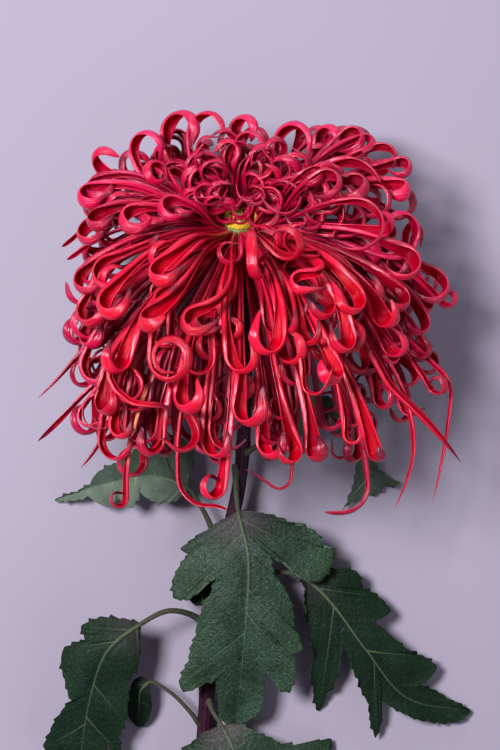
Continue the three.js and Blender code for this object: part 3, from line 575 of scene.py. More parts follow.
def floret(number, start, run, into, radius, turns, tail, width, lift):
    """A floret launched from the head towards its curl, its root outside the disc."""
    rest = start - HEAD
    axial = rest @ AXIS
    radial = rest - AXIS * axial
    rise = math.degrees(math.atan2(axial, np.linalg.norm(radial))) + lift
    slope = math.radians(clamp(rise, *LAUNCH_SLOPE))
    launch = unit(radial) * math.cos(slope) + AXIS * math.sin(slope)
    reach = np.linalg.norm(rest)
    front = smooth(clamp((start[2] - 60) / 75))  # how high the curl begins
    low = smooth(clamp((HEAD[1] + 30 - start[1]) / 70))  # and how far down the picture
    return {
        "start": start, "run": run, "into": into, "radius": radius, "turns": turns, "tail": tail,
        "root": HEAD + launch * CORE_RADIUS * 0.5, "leave": HEAD + launch * reach * 0.5,
        "approach": start - run * reach * 0.33, "width": width, "relax": between(RELAX, number, 24),
        "open": between(OPENING, number, 25), "flame": 0.0, "light": 1.0,
        # Partly a random tone, partly painted light: curls high up at the bloom's front are painted warmer
        # and brighter, as where the light falls.
        "warm_and_lit": clamp(0.15 + 0.75 * front * low + 0.3 * (chance(number, 26) - 0.5)),
    }


# Florets that the picture shows: pixel x and y where the curl begins, height there, heading in degrees
# anticlockwise from the picture's right, curl radius, turns (positive is anticlockwise), tilt of the
# curl towards the viewer in degrees, length of the straight tip, and width.
SHOWN_FLORETS = [
    [252, 264, 146, 268, 6, 0.45, -60, 4, 7],
    [280, 335, 138, 266, 9, -0.55, 42, 10, 9],
    [230, 356, 134, 280, 8.5, 0.5, 40, 10, 8],
    [238, 404, 130, 264, 9, 0.55, 42, 9, 9.5],
    [151, 356, 132, 270, 11.5, 1.25, 25, 4, 7],
    [101, 398, 108, 262, 7, 0.6, 55, 5, 8],
    [101, 438, 94, 268, 10, 0.48, 32, 8, 6.5],
    [127, 424, 104, 272, 9, 0.5, 25, 6, 6],
    [126, 498, 98, 272, 4.2, -0.8, 30, 3, 5],
    [178, 476, 102, 272, 15, 0.25, 20, 11, 4],
    [194, 424, 118, 300, 9, -0.45, 30, 8, 7.5],
    [222, 486, 110, 262, 6, -0.8, 40, 4, 7.5],
    [296, 446, 112, 290, 6.5, -0.6, 45, 5, 8],
    [291, 478, 106, 262, 6, -0.33, 10, 16, 3.2],
    [313, 446, 114, 275, 6, 0.6, 65, 4, 9],
    [303, 382, 138, 272, 6, 0.4, 25, 12, 5],
    [336, 366, 130, 296, 6.5, -0.6, 55, 5, 9],
    [276, 252, 138, 318, 8.5, 0.8, 35, 4, 7],
    [302, 274, 146, 185, 5.5, 0.5, 35, 12, 7.5],
    [384, 376, 112, 297, 30, 0.06, 20, 44, 8],
    [413, 430, 98, 278, 45, -0.09, 20, 15, 4.4],
    [374, 450, 110, 286, 5, 0.5, 75, 2, 8.5],
    [368, 482, 90, 276, 14, -0.25, 10, 10, 5.5],
    [345, 434, 104, 270, 4.5, 0.55, 25, 3, 5],
    [440, 370, 82, 318, 16, -0.16, 20, 54, 4.6],
    [430, 388, 88, 300, 5, 0.9, 35, 2, 4.4],
    [426, 348, 78, 295, 5, -0.5, 35, 3, 4.6],
    [441, 302, 66, 310, 5, 0.9, 35, 2, 5.5],
    [428, 300, 60, 290, 5.5, -0.6, 50, 3, 8],
    [402, 408, 92, 290, 5, 0.3, 30, 6, 5.5],
    [405, 250, 92, 338, 9, -0.62, 35, 7, 10],
    [416, 236, 84, 80, 10, 0.6, 30, 4, 7],
    [350, 200, 110, 5, 14.5, -0.62, 25, 6, 6.5],
    [434, 271, 72, 335, 10, -0.55, 35, 3, 7.5],
    [398, 161, 72, 12, 5, -0.62, 35, 7, 7.5],
    [398, 184, 82, 352, 5, -0.5, 50, 6, 9],
    [344, 134, 56, 40, 7, -0.6, 40, 8, 8],
    [276, 146, 64, 86, 11, -0.52, 35, 9, 8.5],
    [318, 138, 50, 80, 6.5, -0.5, 40, 6, 8],
    [234, 130, 58, 84, 7, -0.52, 40, 6, 8.5],
    [190, 134, 64, 84, 11, -0.5, 35, 6, 7.5],
    [166, 132, 58, 82, 10.5, -0.55, 40, 7, 9.5],
    [134, 156, 60, 106, 9.5, -0.6, 35, 8, 8.5],
    [165, 170, 86, 122, 6.5, 1, 35, 3, 6],
    [112, 178, 66, 165, 9, 0.5, 45, 6, 9],
    [104, 172, 60, 150, 8, -0.5, 50, 5, 8],
    [92, 188, 84, 196, 7, 0.6, 45, 6, 9],
    [100, 212, 94, 205, 7, 0.6, 50, 5, 9],
    [80, 232, 70, 215, 30, 0.02, 20, 8, 3.6],
    [86, 246, 74, 212, 30, 0.02, 20, 8, 3.6],
    [108, 292, 118, 230, 9, 0.6, 45, 6, 9],
    [84, 270, 88, 222, 8, 0.55, 40, 6, 8],
    [162, 262, 140, 218, 8, 0.55, 48, 6, 10],
    [108, 258, 104, 200, 9.5, 0.5, 32, 10, 7],
    [82, 304, 92, 245, 8, 0.6, 35, 8, 7.5],
    [84, 358, 84, 250, 10, 0.55, 25, 8, 7],
    [76, 358, 68, 226, 60, 0.01, 20, 24, 4],
    [84, 394, 74, 224, 60, 0.01, 20, 29, 4.4],
    [82, 408, 82, 232, 6, 0.4, 20, 7, 4.4],
    [106, 428, 76, 242, 60, 0.01, 20, 20, 4],
    [128, 400, 120, 328, 14, 0.09, 20, 14, 5.5],
    [152, 312, 138, 216, 7, 0.5, 62, 5, 10],
    [196, 310, 142, 195, 7.5, 0.55, 38, 10, 8],
    [213, 356, 124, 275, 8, -0.45, 25, 6, 5.5],
    [126, 356, 116, 258, 8, -0.55, 55, 5, 10],
    [180, 392, 126, 262, 8, 0.6, 45, 5, 9],
    [206, 440, 112, 270, 8, 0.5, 40, 6, 8],
    [160, 440, 104, 266, 7, -0.55, 45, 5, 8],
    [349, 334, 132, 280, 7, -0.55, 50, 5, 10],
    [378, 312, 122, 292, 8, 0.5, 60, 4, 10],
    [356, 290, 136, 310, 8, -0.6, 45, 5, 9],
    [386, 346, 100, 300, 7, 0.6, 45, 5, 8],
    [262, 440, 108, 270, 8, 0.5, 45, 6, 8.5],
    [400, 290, 96, 320, 7, -0.6, 45, 6, 9],
    [350, 178, 96, 12, 7, -0.55, 40, 8, 9],
    [376, 232, 100, 350, 7, 0.6, 45, 6, 8],
    [318, 176, 104, 30, 8, -0.6, 40, 6, 8],
    [136, 208, 104, 190, 8, 0.6, 40, 6, 9],
    [176, 200, 108, 170, 7, 0.6, 40, 6, 8],
    [362, 137, 62, 15, 5, -0.45, 40, 5, 6],
    [374, 147, 66, 18, 9, -0.32, 35, 6, 6],
    [345, 161, 84, 2, 17, -0.18, 30, 5, 8],
    [90, 222, 84, 210, 8, 0.55, 45, 5, 8],
    [84, 330, 80, 250, 7, 0.6, 40, 5, 7.5],
    [424, 316, 74, 300, 7, -0.55, 40, 4, 8],
    [396, 330, 88, 305, 7, -0.6, 45, 5, 8],
    [113, 424, 110, 268, 6, 0.45, 35, 5, 7.5],
    [130, 436, 100, 285, 9, 0.42, 25, 6, 4],
    [94, 395, 92, 205, 9.5, 0.5, 15, 5, 2.6],
    [211, 428, 112, 268, 10, 0.35, 25, 6, 6],
    [396, 350, 92, 300, 5, -0.8, 40, 3, 4.5],
    [412, 350, 84, 300, 6, 0.5, 40, 4, 6],
    [330, 300, 128, 290, 7, -0.5, 45, 5, 8],
    [300, 330, 130, 275, 7, 0.5, 45, 5, 8],
]
STREAKED_FLORET = 8  # place in that list of the one with an orange streak


def listed_floret(number, row, offset=(0, 0, 0, 0)):
    """A floret of a list. Its fellows are moved by pixels, lowered by millimetres and turned by degrees."""
    px, py, height, heading, radius, turns, tilt, tail, width = row
    angle = math.radians(heading + offset[3])
    lean = math.radians(tilt)
    run = vec(math.cos(angle), math.sin(angle), 0)
    side = vec(-run[1], run[0], 0) * math.copysign(1, turns)
    into = side * math.cos(lean) + UP * math.sin(lean)
    start = place(px + offset[0], py + offset[1], max(4, height - offset[2]))
    return floret(number, start, run, into, radius, abs(turns), tail, width, SHOWN_LIFT)


# Limits of the draws for fellows
FELLOW_SHIFT = ((-14, 14), (-14, 2))  # pixels aside and ahead
FELLOW_TURN = (-14, 14)  # degrees
FELLOW_CURL = ((0.4, 0.8), (-1, 1), (5, 9), (5, 60), (5, 7.5))  # turns, to which side, radius, tilt, width
FELLOW_TIP = 5


def fellow_florets(rows, first, drop, pull=(0.06, 0.16)):
    """A fuller bloom: each listed floret has a fellow deeper down, pulled towards the bloom's middle."""
    florets = []
    for number, row in enumerate(rows, first):
        aside, ahead, lower, turned = draws(number, 51, *FELLOW_SHIFT, drop, FELLOW_TURN)
        turns, side, radius, tilt, width, inward = draws(number, 55, *FELLOW_CURL, pull)
        angle = math.radians(row[3])
        moved = (
            aside * math.sin(angle) + ahead * math.cos(angle) - inward * (row[0] - HEAD_PIXEL[0]),
            aside * math.cos(angle) - ahead * math.sin(angle) - inward * (row[1] - HEAD_PIXEL[1]),
            lower,
            turned,
        )
        curl = (radius, math.copysign(turns, side), tilt, FELLOW_TIP, width)
        florets.append(listed_floret(number, (*row[:4], *curl), moved))
    return florets


# Rings of florets round the rest of the bloom: count, first and last turn in degrees from the viewer's
# side, how far out and how far down the curls begin, how steeply they hang, width and lift.
RINGS = [
    (6, 80, 280, 62, 88, 0.92, 7, 10),
    (6, 80, 280, 76, 44, 0.75, 7.5, 15),
    (5, 75, 285, 72, 4, 0.45, 8, 20),
    (4, 110, 250, 48, -28, 0.1, 8, 20),
]
# Further florets between and inside them.
FILL_RINGS = [
    (14, 75, 285, 56, 84, 0.92, 6, 10),
    (14, 75, 285, 68, 40, 0.75, 6.5, 15),
    (12, 75, 285, 65, 2, 0.45, 7, 20),
    (10, 105, 255, 44, -26, 0.1, 7, 20),
]
# Limits of the draws for them: share of a ring's own reach, millimetres lower, degrees that a curl swings
# sideways, its radius and turns, and share of a ring's own width.
RING_LIMITS = ((0.88, 1.1), (-14, 14), (-70, 70), (5, 9), (0.45, 0.85), (0.8, 1.25))
SIDE_REACH = 76  # no curl of the rings begins further to the side of the bloom's middle
RING_LOWEST = 5
RING_TIP = 6


def ring_florets(rings, first):
    florets = []
    for tier, (count, turn_from, turn_to, out, drop, fall, width, lift) in enumerate(rings):
        for i in range(count):
            number = first + tier * 100 + i
            turn = math.radians(mix(turn_from, turn_to, (i + 0.3 + 0.4 * chance(number, 1)) / count))
            reach, lower, swing, radius, turns, wide = draws(number, 2, *RING_LIMITS)
            outward = vec(math.sin(turn), 0, math.cos(turn))
            start = HEAD + outward * (out * reach) + vec(0, -drop - lower, 0)
            start[0] = clamp(start[0], HEAD[0] - SIDE_REACH, HEAD[0] + SIDE_REACH)
            start[2] = press(start[2], RING_LOWEST)
            run = unit(outward * (1 - fall) + vec(0, -fall, 0))
            sideways = unit(np.cross(run, outward))
            swing = math.radians(swing)
            into = unit(np.cross(sideways, run) * math.cos(swing) + sideways * math.sin(swing))
            florets.append(floret(number, start, run, into, radius, turns, RING_TIP, width * wide, lift))
    return florets


# The inner florets rise behind the disc and part at the dark middle of the whorl. Their rows are laid out
# like those of SHOWN_FLORETS.
WHORL_FLORETS = [
    [206, 185, 90, 178, 5.5, 0.5, 15, 8, 4.5],
    [214, 198, 92, 176, 30, 0.02, 15, 9, 3.6],
    [210, 176, 85, 168, 9, -0.32, 25, 5, 4.5],
    [216, 212, 88, 188, 5, -0.6, 40, 4, 5],
    [196, 196, 84, 190, 6, 0.55, 40, 5, 5.5],
    [249, 212, 94, 246, 5, -0.38, 35, 3, 5.5],
    [256, 188, 93, 352, 5, -0.5, 25, 4, 4],
    [272, 189, 91, 342, 6.8, -0.58, 20, 5, 4.4],
    [273, 196, 88, 345, 3.8, -0.65, 25, 3, 3.4],
    [287, 183, 92, 342, 9, -0.58, 20, 10, 5.5],
    [298, 179, 90, 350, 5.5, -0.34, 20, 7, 5.5],
    [312, 206, 93, 268, 12, -0.1, 20, 6, 5],
    [320, 216, 94, 282, 6, -0.28, 25, 6, 6.5],
    [341, 207, 92, 290, 10, -0.16, 20, 8, 6.5],
    [247, 166, 82, 70, 12, -0.16, 25, 5, 5],
    [226, 158, 78, 84, 8, -0.34, 35, 4, 5.5],
    [238, 150, 72, 88, 9, 0.34, 35, 4, 6],
    [205, 160, 78, 150, 7, -0.42, 30, 5, 6],
    [262, 177, 87, 8, 6, 0.36, 20, 5, 4.6],
    [272, 165, 80, 62, 7, 0.62, 25, 3, 5],
]
# Small ones that cross over the disc, in the picture's view.
CROSSING_FLORETS = [
    [251, 214, 92, 258, 6, -0.3, 20, 4, 4],
    [257, 221, 92, 225, 8, 0.2, 30, 4, 3.6],
]
WHORL_RISE = 24  # from the bloom's middle up its axis to where the inner florets part
WHORL_ROOT = (8.5, 1)  # back and up from the bloom's middle
WHORL_RIM = (13, 11)
WHORL_SPREAD = 15
# How light the inner florets are painted: painted shade in the whorl's middle.
WHORL_LIGHT = 0.55
WHORL_PULL = (-0.2, 0)


def whorl_floret(f):
    """A floret rooted behind the disc instead, which passes through the whorl's middle."""
    middle = HEAD + AXIS * WHORL_RISE
    side = clamp((f["start"][0] - middle[0]) / WHORL_SPREAD, -1)
    back = unit(ACROSS * side + FRONT * (abs(side) - 1.1))
    f["root"] = HEAD + back * WHORL_ROOT[0] + AXIS * WHORL_ROOT[1]
    f["leave"] = HEAD + back * WHORL_RIM[0] + AXIS * WHORL_RIM[1]
    f["approach"] = f["start"] - f["run"] * np.linalg.norm(f["start"] - middle) / 2
    f["light"] = WHORL_LIGHT
    return f


# How light the deeper layers are painted beside the ones that show: painted shade, darkest on the lowest.
GROUP_LIGHT = {"florets_between": 0.6, "florets_under": 0.3, "florets_behind": 0.6}


def build_florets():
    """Every layer of florets. A list's first number keeps its random draws apart from the others', and a
    pair of numbers says how many millimetres lower its fellows lie."""
    whorl = [listed_floret(500 + i, row) for i, row in enumerate(WHORL_FLORETS + CROSSING_FLORETS)]
    whorl += fellow_florets(WHORL_FLORETS, 4000, (2, 8), WHORL_PULL)
    whorl += fellow_florets(WHORL_FLORETS, 5000, (5, 15), WHORL_PULL)
    groups = {
        "florets_shown": [listed_floret(i, row) for i, row in enumerate(SHOWN_FLORETS)],
        "florets_between": fellow_florets(SHOWN_FLORETS, 1000, (8, 22)),
        "florets_under": fellow_florets(SHOWN_FLORETS, 2000, (20, 40)),
        "florets_behind": ring_florets(RINGS, 0) + ring_florets(FILL_RINGS, 3000),
        "florets_whorl": [whorl_floret(f) for f in whorl],
    }
    groups["florets_shown"][STREAKED_FLORET]["flame"] = 1.0
    number = 0
    for name, florets in groups.items():
        skin = Skin()
        for f in florets:
            f["light"] *= GROUP_LIGHT.get(name, 1)
            add_floret(skin, f, number)
            number += 1
        skin.build(name, "floret", "ray_florets")
    core = Skin()
    t = np.linspace(0.02, math.pi - 0.02, 12)
    rod(core, HEAD + np.outer(-np.cos(t), AXIS) * CORE_RADIUS, CORE_RADIUS * np.sin(t), 20, (0.4, 0, 0.5))
    core.build("floret_base", "bract", "ray_florets")


# The disc: small yellow tubes on a low dome, each with a five-toothed mouth.
DISC_TUBES = 130
DISC_LEAN = math.radians(86)  # how far round the dome the outermost tube stands
GOLDEN_ANGLE = 2.39996
TUBE_HEIGHTS = (2.0, 1.2)  # in the middle and at the rim
TUBE_PROFILE = np.array([  # share of the height, radius, lightness
    (0, 0.28, 0.1), (0.5, 0.34, 0.4), (0.8, 0.5, 0.8), (1.0, 0.62, 1.0), (0.95, 0.42, 0.5), (0.6, 0.16, 0.1),
])
TUBE_SIDES = 10


def build_disc():
    skin = Skin()
    base = HEAD + AXIS * DISC_BASE
    t = np.linspace(0, math.pi / 2, 8)
    line = base + np.outer(np.sin(t), AXIS) * (DISC_RISE - 1.5)
    rod(skin, line, np.maximum(0.05, (DISC_RADIUS - 0.6) * np.cos(t)), 24, (0.1, 0, 0.4))
    for i in range(DISC_TUBES):
        share = (i + 0.5) / DISC_TUBES
        lean = DISC_LEAN * share**0.55
        turn = i * GOLDEN_ANGLE
        out = (ACROSS * math.sin(turn) + FRONT * math.cos(turn)) * math.sin(lean)
        foot = base + out * (DISC_RADIUS - 1) + AXIS * math.cos(lean) * (DISC_RISE - 2.4)
        height = mix(*TUBE_HEIGHTS, share) * between((0.8, 1.2), i, 31)
        add_tube(skin, foot, unit(out * 0.8 + AXIS), height, chance(i, 32))
    skin.build("disc_tubes", "disc", "disc_florets")


def add_tube(skin, foot, way, height, tone):
    heights, radii, light = TUBE_PROFILE.T[..., None]
    side = square_to(vec(1, 0.3, 0.2), way)
    other = np.cross(way, side)
    turn = circle(TUBE_SIDES)
    reach = radii * (1 + 0.22 * np.cos(5 * turn) * (heights > 0.9))
    line = foot + heights * height * way
    points = beside(line, side[None], other[None], np.cos(turn) * reach, np.sin(turn) * reach)
    skin.add_rings(points, (light, 0, tone))


# The cup of overlapping bracts under the bloom: radius and height of its profile from the core's foot,
# then for each row of bracts its height and radius and how far it stands out.
CUP_PROFILE = np.array([(0.3, -6.1), (3, -5.9), (5.9, -3.7), (8.1, -0.2), (9.1, 3.9), (8.6, 4.2), (8.3, 4)])
CUP_SIDES = 30
BRACT_ROWS = [(-5.6, 3.6, 0.9), (-3.4, 6.4, 0.55), (-0.6, 8.1, 0.25), (1.6, 8.9, 0.12)]
BRACTS_PER_ROW = 13
BRACT_LENGTH = (3.6, 4.6)
BRACT_WIDTH = 3.1
BRACT_THICKNESS = 0.3


def build_cup():
    skin = Skin()
    middle = HEAD - AXIS * CORE_RADIUS
    radii, heights = CUP_PROFILE.T[..., None]
    turn = circle(CUP_SIDES)
    line = middle + AXIS * heights
    points = beside(line, ACROSS[None], FRONT[None], np.sin(turn) * radii, np.cos(turn) * radii)
    skin.add_rings(points[:, ::-1], (0.2, 0, 0.4))
    for row, (height, radius, slant) in enumerate(BRACT_ROWS):
        for i in range(BRACTS_PER_ROW):
            turn = 2 * math.pi * (i + 0.5 * (row % 2)) / BRACTS_PER_ROW
            out = ACROSS * math.sin(turn) + FRONT * math.cos(turn)
            add_bract(skin, middle + AXIS * height + out * radius, out, slant, row * BRACTS_PER_ROW + i)
    skin.build("bracts", "bract", "bract_cup")


def add_bract(skin, foot, out, slant, number):
    rise = unit(AXIS + out * slant)
    t = np.linspace(0, 1, 7)[:, None]
    line = foot + t * between(BRACT_LENGTH, number, 41) * rise + 0.25 * np.sin(t * math.pi) * out
    width = BRACT_WIDTH * np.sin(np.clip(t * 0.85 + 0.22, 0, 1) * math.pi) ** 0.7 * (1 - 0.75 * t**3)
    u = np.linspace(-1, 1, 5)
    face = beside(line, np.cross(AXIS, out)[None], -out[None], width / 2 * u, 0.35 * u**2)
    ring = np.concatenate([face, face[:, ::-1] - out * BRACT_THICKNESS], axis=1)
    light = (0.3 + 0.7 * np.abs(np.concatenate([u, u[::-1]]))) * mix(0.5, 1, t)
    skin.add_rings(ring, (light, 0, between((0.5, 1), number, 42)))


# Each leaf: stalk from the stem to the blade and rib to the tip as (pixel x, pixel y, height); the edge
# on the left and right of the rib, from stalk to tip, as (pixel x, pixel y); droop and wave in
# millimetres; lean is how far back along the rib the rays to the edge start; tone is how light it is,
# from 0 in deep shade; pale is how much it shows its grey-green underside, left and right of the rib.
LEAVES = {
    "leaf_front": {
        "stalk": [[236, 466, 24], [236, 488, 29]],
        "rib": [[238, 511, 33], [248, 556, 36], [246, 618, 34], [236, 725, 16]],
        "left": [
            [227, 520], [203, 535], [180, 550], [192, 556], [180, 566], [172, 585], [174, 600], [189, 599],
            [204, 583], [220, 574], [210, 597], [201, 613], [196, 635], [189, 661], [179, 685], [183, 693],
            [204, 683], [217, 676], [219, 704], [222, 721],
        ],
        "right": [
            [256, 513], [297, 526], [316, 532], [323, 549], [335, 549], [332, 566], [320, 583], [306, 582],
            [287, 563], [268, 554], [273, 575], [290, 600], [294, 630], [303, 652], [292, 656], [296, 671],
            [289, 694], [277, 683], [272, 666], [263, 664], [263, 687], [260, 712],
        ],
        "droop": 0.2, "wave": 1.2, "lean": 1, "tone": 0.95,
    },
    "leaf_lower_left": {
        "stalk": [[208, 632, 14], [195, 617, 20], [168, 611, 30]],
        "rib": [[141, 624, 34], [109, 649, 35], [92, 690, 28], [74, 806, 4]],
        "right": [
            [120, 619], [97, 619], [80, 628], [87, 641], [62, 651], [60, 662], [64, 680], [72, 700],
            [60, 714], [50, 732], [43, 750], [58, 764], [46, 782], [62, 790],
        ],
        "left": [
            [140, 631], [136, 645], [138, 666], [126, 681], [127, 704], [124, 722], [118, 738], [119, 756],
            [106, 742], [102, 760], [104, 780], [90, 786],
        ],
        "droop": 0.8, "wave": 1.6, "lean": 0.9, "tone": 0.3,
    },
    "leaf_lower_right": {
        "stalk": [[224, 556, 18], [250, 568, 19], [274, 572, 20]],
        "rib": [[299, 575, 21], [327, 598, 21], [366, 650, 18], [407, 698, 12], [470, 711, 3]],
        "left": [
            [318, 575], [344, 569], [358, 573], [362, 590], [379, 598], [391, 613], [382, 619], [366, 619],
            [386, 631], [395, 640], [410, 655], [426, 659], [437, 668], [430, 678], [420, 685], [447, 699],
        ],
        "right": [
            [306, 588], [312, 634], [316, 660], [315, 700], [320, 717], [327, 697], [336, 681], [339, 667],
            [341, 631], [351, 660], [358, 679], [370, 706], [377, 742], [381, 710], [380, 697], [407, 715],
            [427, 721], [458, 722],
        ],
        "droop": 0.5, "wave": 1.8, "lean": 1.1, "tone": 0.2,
    },
    "leaf_upper_left": {
        "stalk": [[221, 556, 19], [208, 520, 22], [197, 500, 24]],
        "rib": [[187, 487, 25], [158, 476, 26], [104, 484, 16], [55, 500, 3]],
        "right": [
            [190, 470], [193, 451], [180, 438], [165, 435], [158, 450], [140, 448], [120, 462], [96, 474],
            [90, 484], [78, 492],
        ],
        "left": [
            [180, 497], [165, 503], [150, 500], [140, 492], [130, 508], [118, 496], [108, 507], [98, 503],
            [88, 496], [72, 500],
        ],
        "droop": 0.6, "wave": 1.6, "lean": 0.5, "tone": 0.5, "pale": (0.95, 0.3),
    },
    "leaf_upper_right": {
        "stalk": [[244, 454, 26], [254, 448, 28]],
        "rib": [[268, 436, 28], [302, 404, 28], [344, 414, 20], [366, 462, 12], [372, 496, 5]],
        "left": [
            [270, 414], [284, 400], [298, 384], [312, 396], [330, 398], [350, 400], [362, 424], [370, 448],
            [378, 470], [390, 480], [401, 483], [384, 486],
        ],
        "right": [
            [284, 440], [304, 436], [318, 424], [334, 436], [346, 432], [354, 450], [354, 476], [348, 496],
            [341, 513], [356, 502], [364, 494],
        ],
        "droop": 0.7, "wave": 1.4, "lean": 0.7, "tone": 0.5, "pale": (0.45, 0.45),
    },
    "leaf_bottom": {
        "stalk": [[208, 700, 13], [213, 712, 17]],
        "rib": [[222, 726, 20], [236, 756, 22], [250, 800, 15], [262, 862, 3]],
        "right": [
            [209, 731], [191, 746], [174, 762], [180, 776], [176, 792], [184, 808], [202, 800], [222, 796],
            [210, 814], [204, 834], [216, 846], [234, 836], [246, 852],
        ],
        "left": [
            [236, 724], [256, 733], [282, 746], [304, 752], [333, 745], [330, 764], [310, 778], [282, 782],
            [288, 806], [302, 832], [292, 846], [274, 842], [272, 856],
        ],
        "droop": 0.6, "wave": 1.4, "lean": 0.3, "tone": 0.9,
    },
    "side_shoot": {
        "stalk": [[200, 726, 11], [190, 712, 15], [170, 692, 18]],
        "rib": [[150, 682, 18], [141, 690, 17], [139, 706, 12], [138, 727, 4]],
        "left": [[150, 684], [150, 694], [152, 706], [149, 718], [144, 726]],
        "right": [[142, 676], [134, 680], [130, 690], [128, 702], [128, 714], [132, 722]],
        "droop": 0.7, "wave": 0.4, "lean": 0.3, "tone": 0.1,
    },
    "axil_leaf": {
        "stalk": [[212, 616, 15], [207, 610, 18]],
        "rib": [[204, 604, 19], [202, 594, 20], [205, 582, 20], [212, 568, 18]],
        "left": [[196, 606], [189, 600], [190, 588], [197, 580], [202, 572]],
        "right": [[210, 600], [214, 592], [212, 580]],
        "droop": 0.7, "wave": 0.4, "lean": 0.5, "tone": 0.2,
    },
}
BLADE_THICKNESS = 0.7
BLADE_COLUMNS = 24  # steps from rib to edge
RAY_STEP = 0.006  # least step between rays, as a share of the rib
EDGE_STEPS = 12  # steps from one edge point to the next
EDGE_BULGE = 0.05  # share of a stretch's length that it bulges
TOOTH_PITCH = 5  # millimetres between the small teeth of an edge
TOOTH_DEPTH = 2.1
BASE_TINT = 0.2  # share of a blade's length, from its root, over which it is tinged brown
RIB_WIDTH = 0.6
VEIN_WIDTH = 0.5
VALLEY_WIDTH = 3.0  # of the furrow along the rib
VALLEY_SPREAD = 4.5  # a vein's furrow is this much wider than the vein
VALLEY_DEPTH = 0.55
STALK_SIDES = 10


def rays_to(rib, outline, lean):
    """The edge on one side: each point with the rib place that its ray leaves from."""
    length = stations(rib)[-1]
    middle = rib_at(rib, 0.5)[2]
    last = 0
    rays = [(0, rib[0])]
    for i, (px, py) in enumerate(outline):
        gaps = np.linalg.norm((rib - place(px, py, middle))[:, :2], axis=1)
        near = int(np.argmin(gaps))
        u = near / (len(rib) - 1) - lean * gaps[near] / length
        last = min(1 - RAY_STEP * (len(outline) - i), max(last + RAY_STEP, u))
        rays.append((last, place(px, py, rib_at(rib, last)[2])))
    return rays + [(1, rib[-1])]


def rib_at(rib, u):
    t = u * (len(rib) - 1)
    k = min(int(t), len(rib) - 2)
    return mix(rib[k], rib[k + 1], t - k)


def fine_rays(rays):
    """More rays between those of the outline: each stretch of edge bulges and has small teeth."""
    fine = []
    area = sum(p[0] * q[1] - p[1] * q[0] for (_, p), (_, q) in zip(rays, rays[1:] + rays[:1]))
    for i, ((u0, p0), (u1, p1)) in enumerate(zip(rays, rays[1:])):
        outward = np.cross(p1 - p0, UP) * math.copysign(1, area)
        length = max(1e-6, np.linalg.norm(outward))
        teeth = round(length / TOOTH_PITCH)
        for k in range(EDGE_STEPS):
            t = k / EDGE_STEPS
            bulge = EDGE_BULGE * math.sin(t * math.pi)
            if teeth > 1:
                depth = TOOTH_DEPTH / length * between((0.4, 1.3), i * 7 + int(t * teeth), 61)
                bulge += depth * ((t * teeth) % 1) ** 1.6 * math.sin(t * math.pi) ** 0.5
            fine.append((mix(u0, u1, t), mix(p0, p1, t) + outward * bulge))
    return fine + [rays[-1]]


def vein_lines(rib, rays):
    """Side veins to the lobes' tips, stronger to the farther ones, as (start, end, strength)."""
    roots = [rib_at(rib, u) for u, _ in rays]
    reach = [np.linalg.norm(p - root) for (_, p), root in zip(rays, roots)]
    tips = [i for i in range(1, len(rays) - 1) if reach[i] > reach[i - 1] and reach[i] >= reach[i + 1]]
    longest = max([reach[i] for i in tips], default=1)
    return [(roots[i], mix(roots[i], rays[i][1], 0.96), 0.35 + 0.5 * reach[i] / longest) for i in tips]


def distance_to(points, a, b):
    """Distance in plan from points to a stretch a to b, and the share along it."""
    d = (b - a)[:2]
    t = np.clip((points[..., :2] - a[:2]) @ d / max(1e-6, d @ d), 0, 1)
    near = a[:2] + t[..., None] * d
    return np.linalg.norm(points[..., :2] - near, axis=-1), t


def distance_to_rib(points, rib):
    return np.min([distance_to(points, a, b)[0] for a, b in zip(rib[:-1:5], rib[5::5])], axis=0)


def add_blade(skin, leaf, rib):
    """Both halves of a blade, with furrows along the rib and the veins."""
    v = np.linspace(0, 1, BLADE_COLUMNS + 1)
    for side, outline in enumerate((leaf["left"], leaf["right"])):
        rays = rays_to(rib, outline, leaf["lean"])
        fine = fine_rays(rays)
        u = np.array([ray[0] for ray in fine])[:, None]
        edge = np.array([ray[1] for ray in fine])
        root = np.array([rib_at(rib, ray[0]) for ray in fine])
        out = (edge - root) * vec(1, 1, 0)
        lateral = np.linalg.norm(out, axis=1)[:, None] * v
        grid = root[:, None] + out[:, None] * v[:, None]
        rib_gap = distance_to_rib(grid, rib)
        strength = bell(rib_gap, RIB_WIDTH) * mix(1, 0.35, u)
        valley = bell(rib_gap, VALLEY_WIDTH)
        for a, b, power in vein_lines(rib, rays):
            gap, t = distance_to(grid, a, b)
            width = VEIN_WIDTH * power * (1.15 - 0.7 * t)
            strength = np.maximum(strength, power * (1 - 0.6 * t) * bell(gap, width))
            valley = np.maximum(valley, power * bell(gap, width * VALLEY_SPREAD))
        grid[..., 2] += leaf["wave"] * v**2 * np.sin(u * 15 + edge[:, :1] * 0.05)
        grid[..., 2] -= leaf["droop"] * lateral**2 * 0.01
        grid[..., 2] -= VALLEY_DEPTH * valley * np.minimum(1, lateral / 4 + 0.4)
        grid[..., 2] = press(grid[..., 2], BLADE_THICKNESS / 2 + 0.1, 2)
        base = np.clip(1 - np.linalg.norm(grid - rib[0], axis=2) / (BASE_TINT * stations(rib)[-1]), 0, 1)
        pale = leaf.get("pale", (0, 0))[side]
        add_sheet(skin, grid, (strength, v, leaf["tone"], [[[0]], [[1]]]), (0, base, pale))


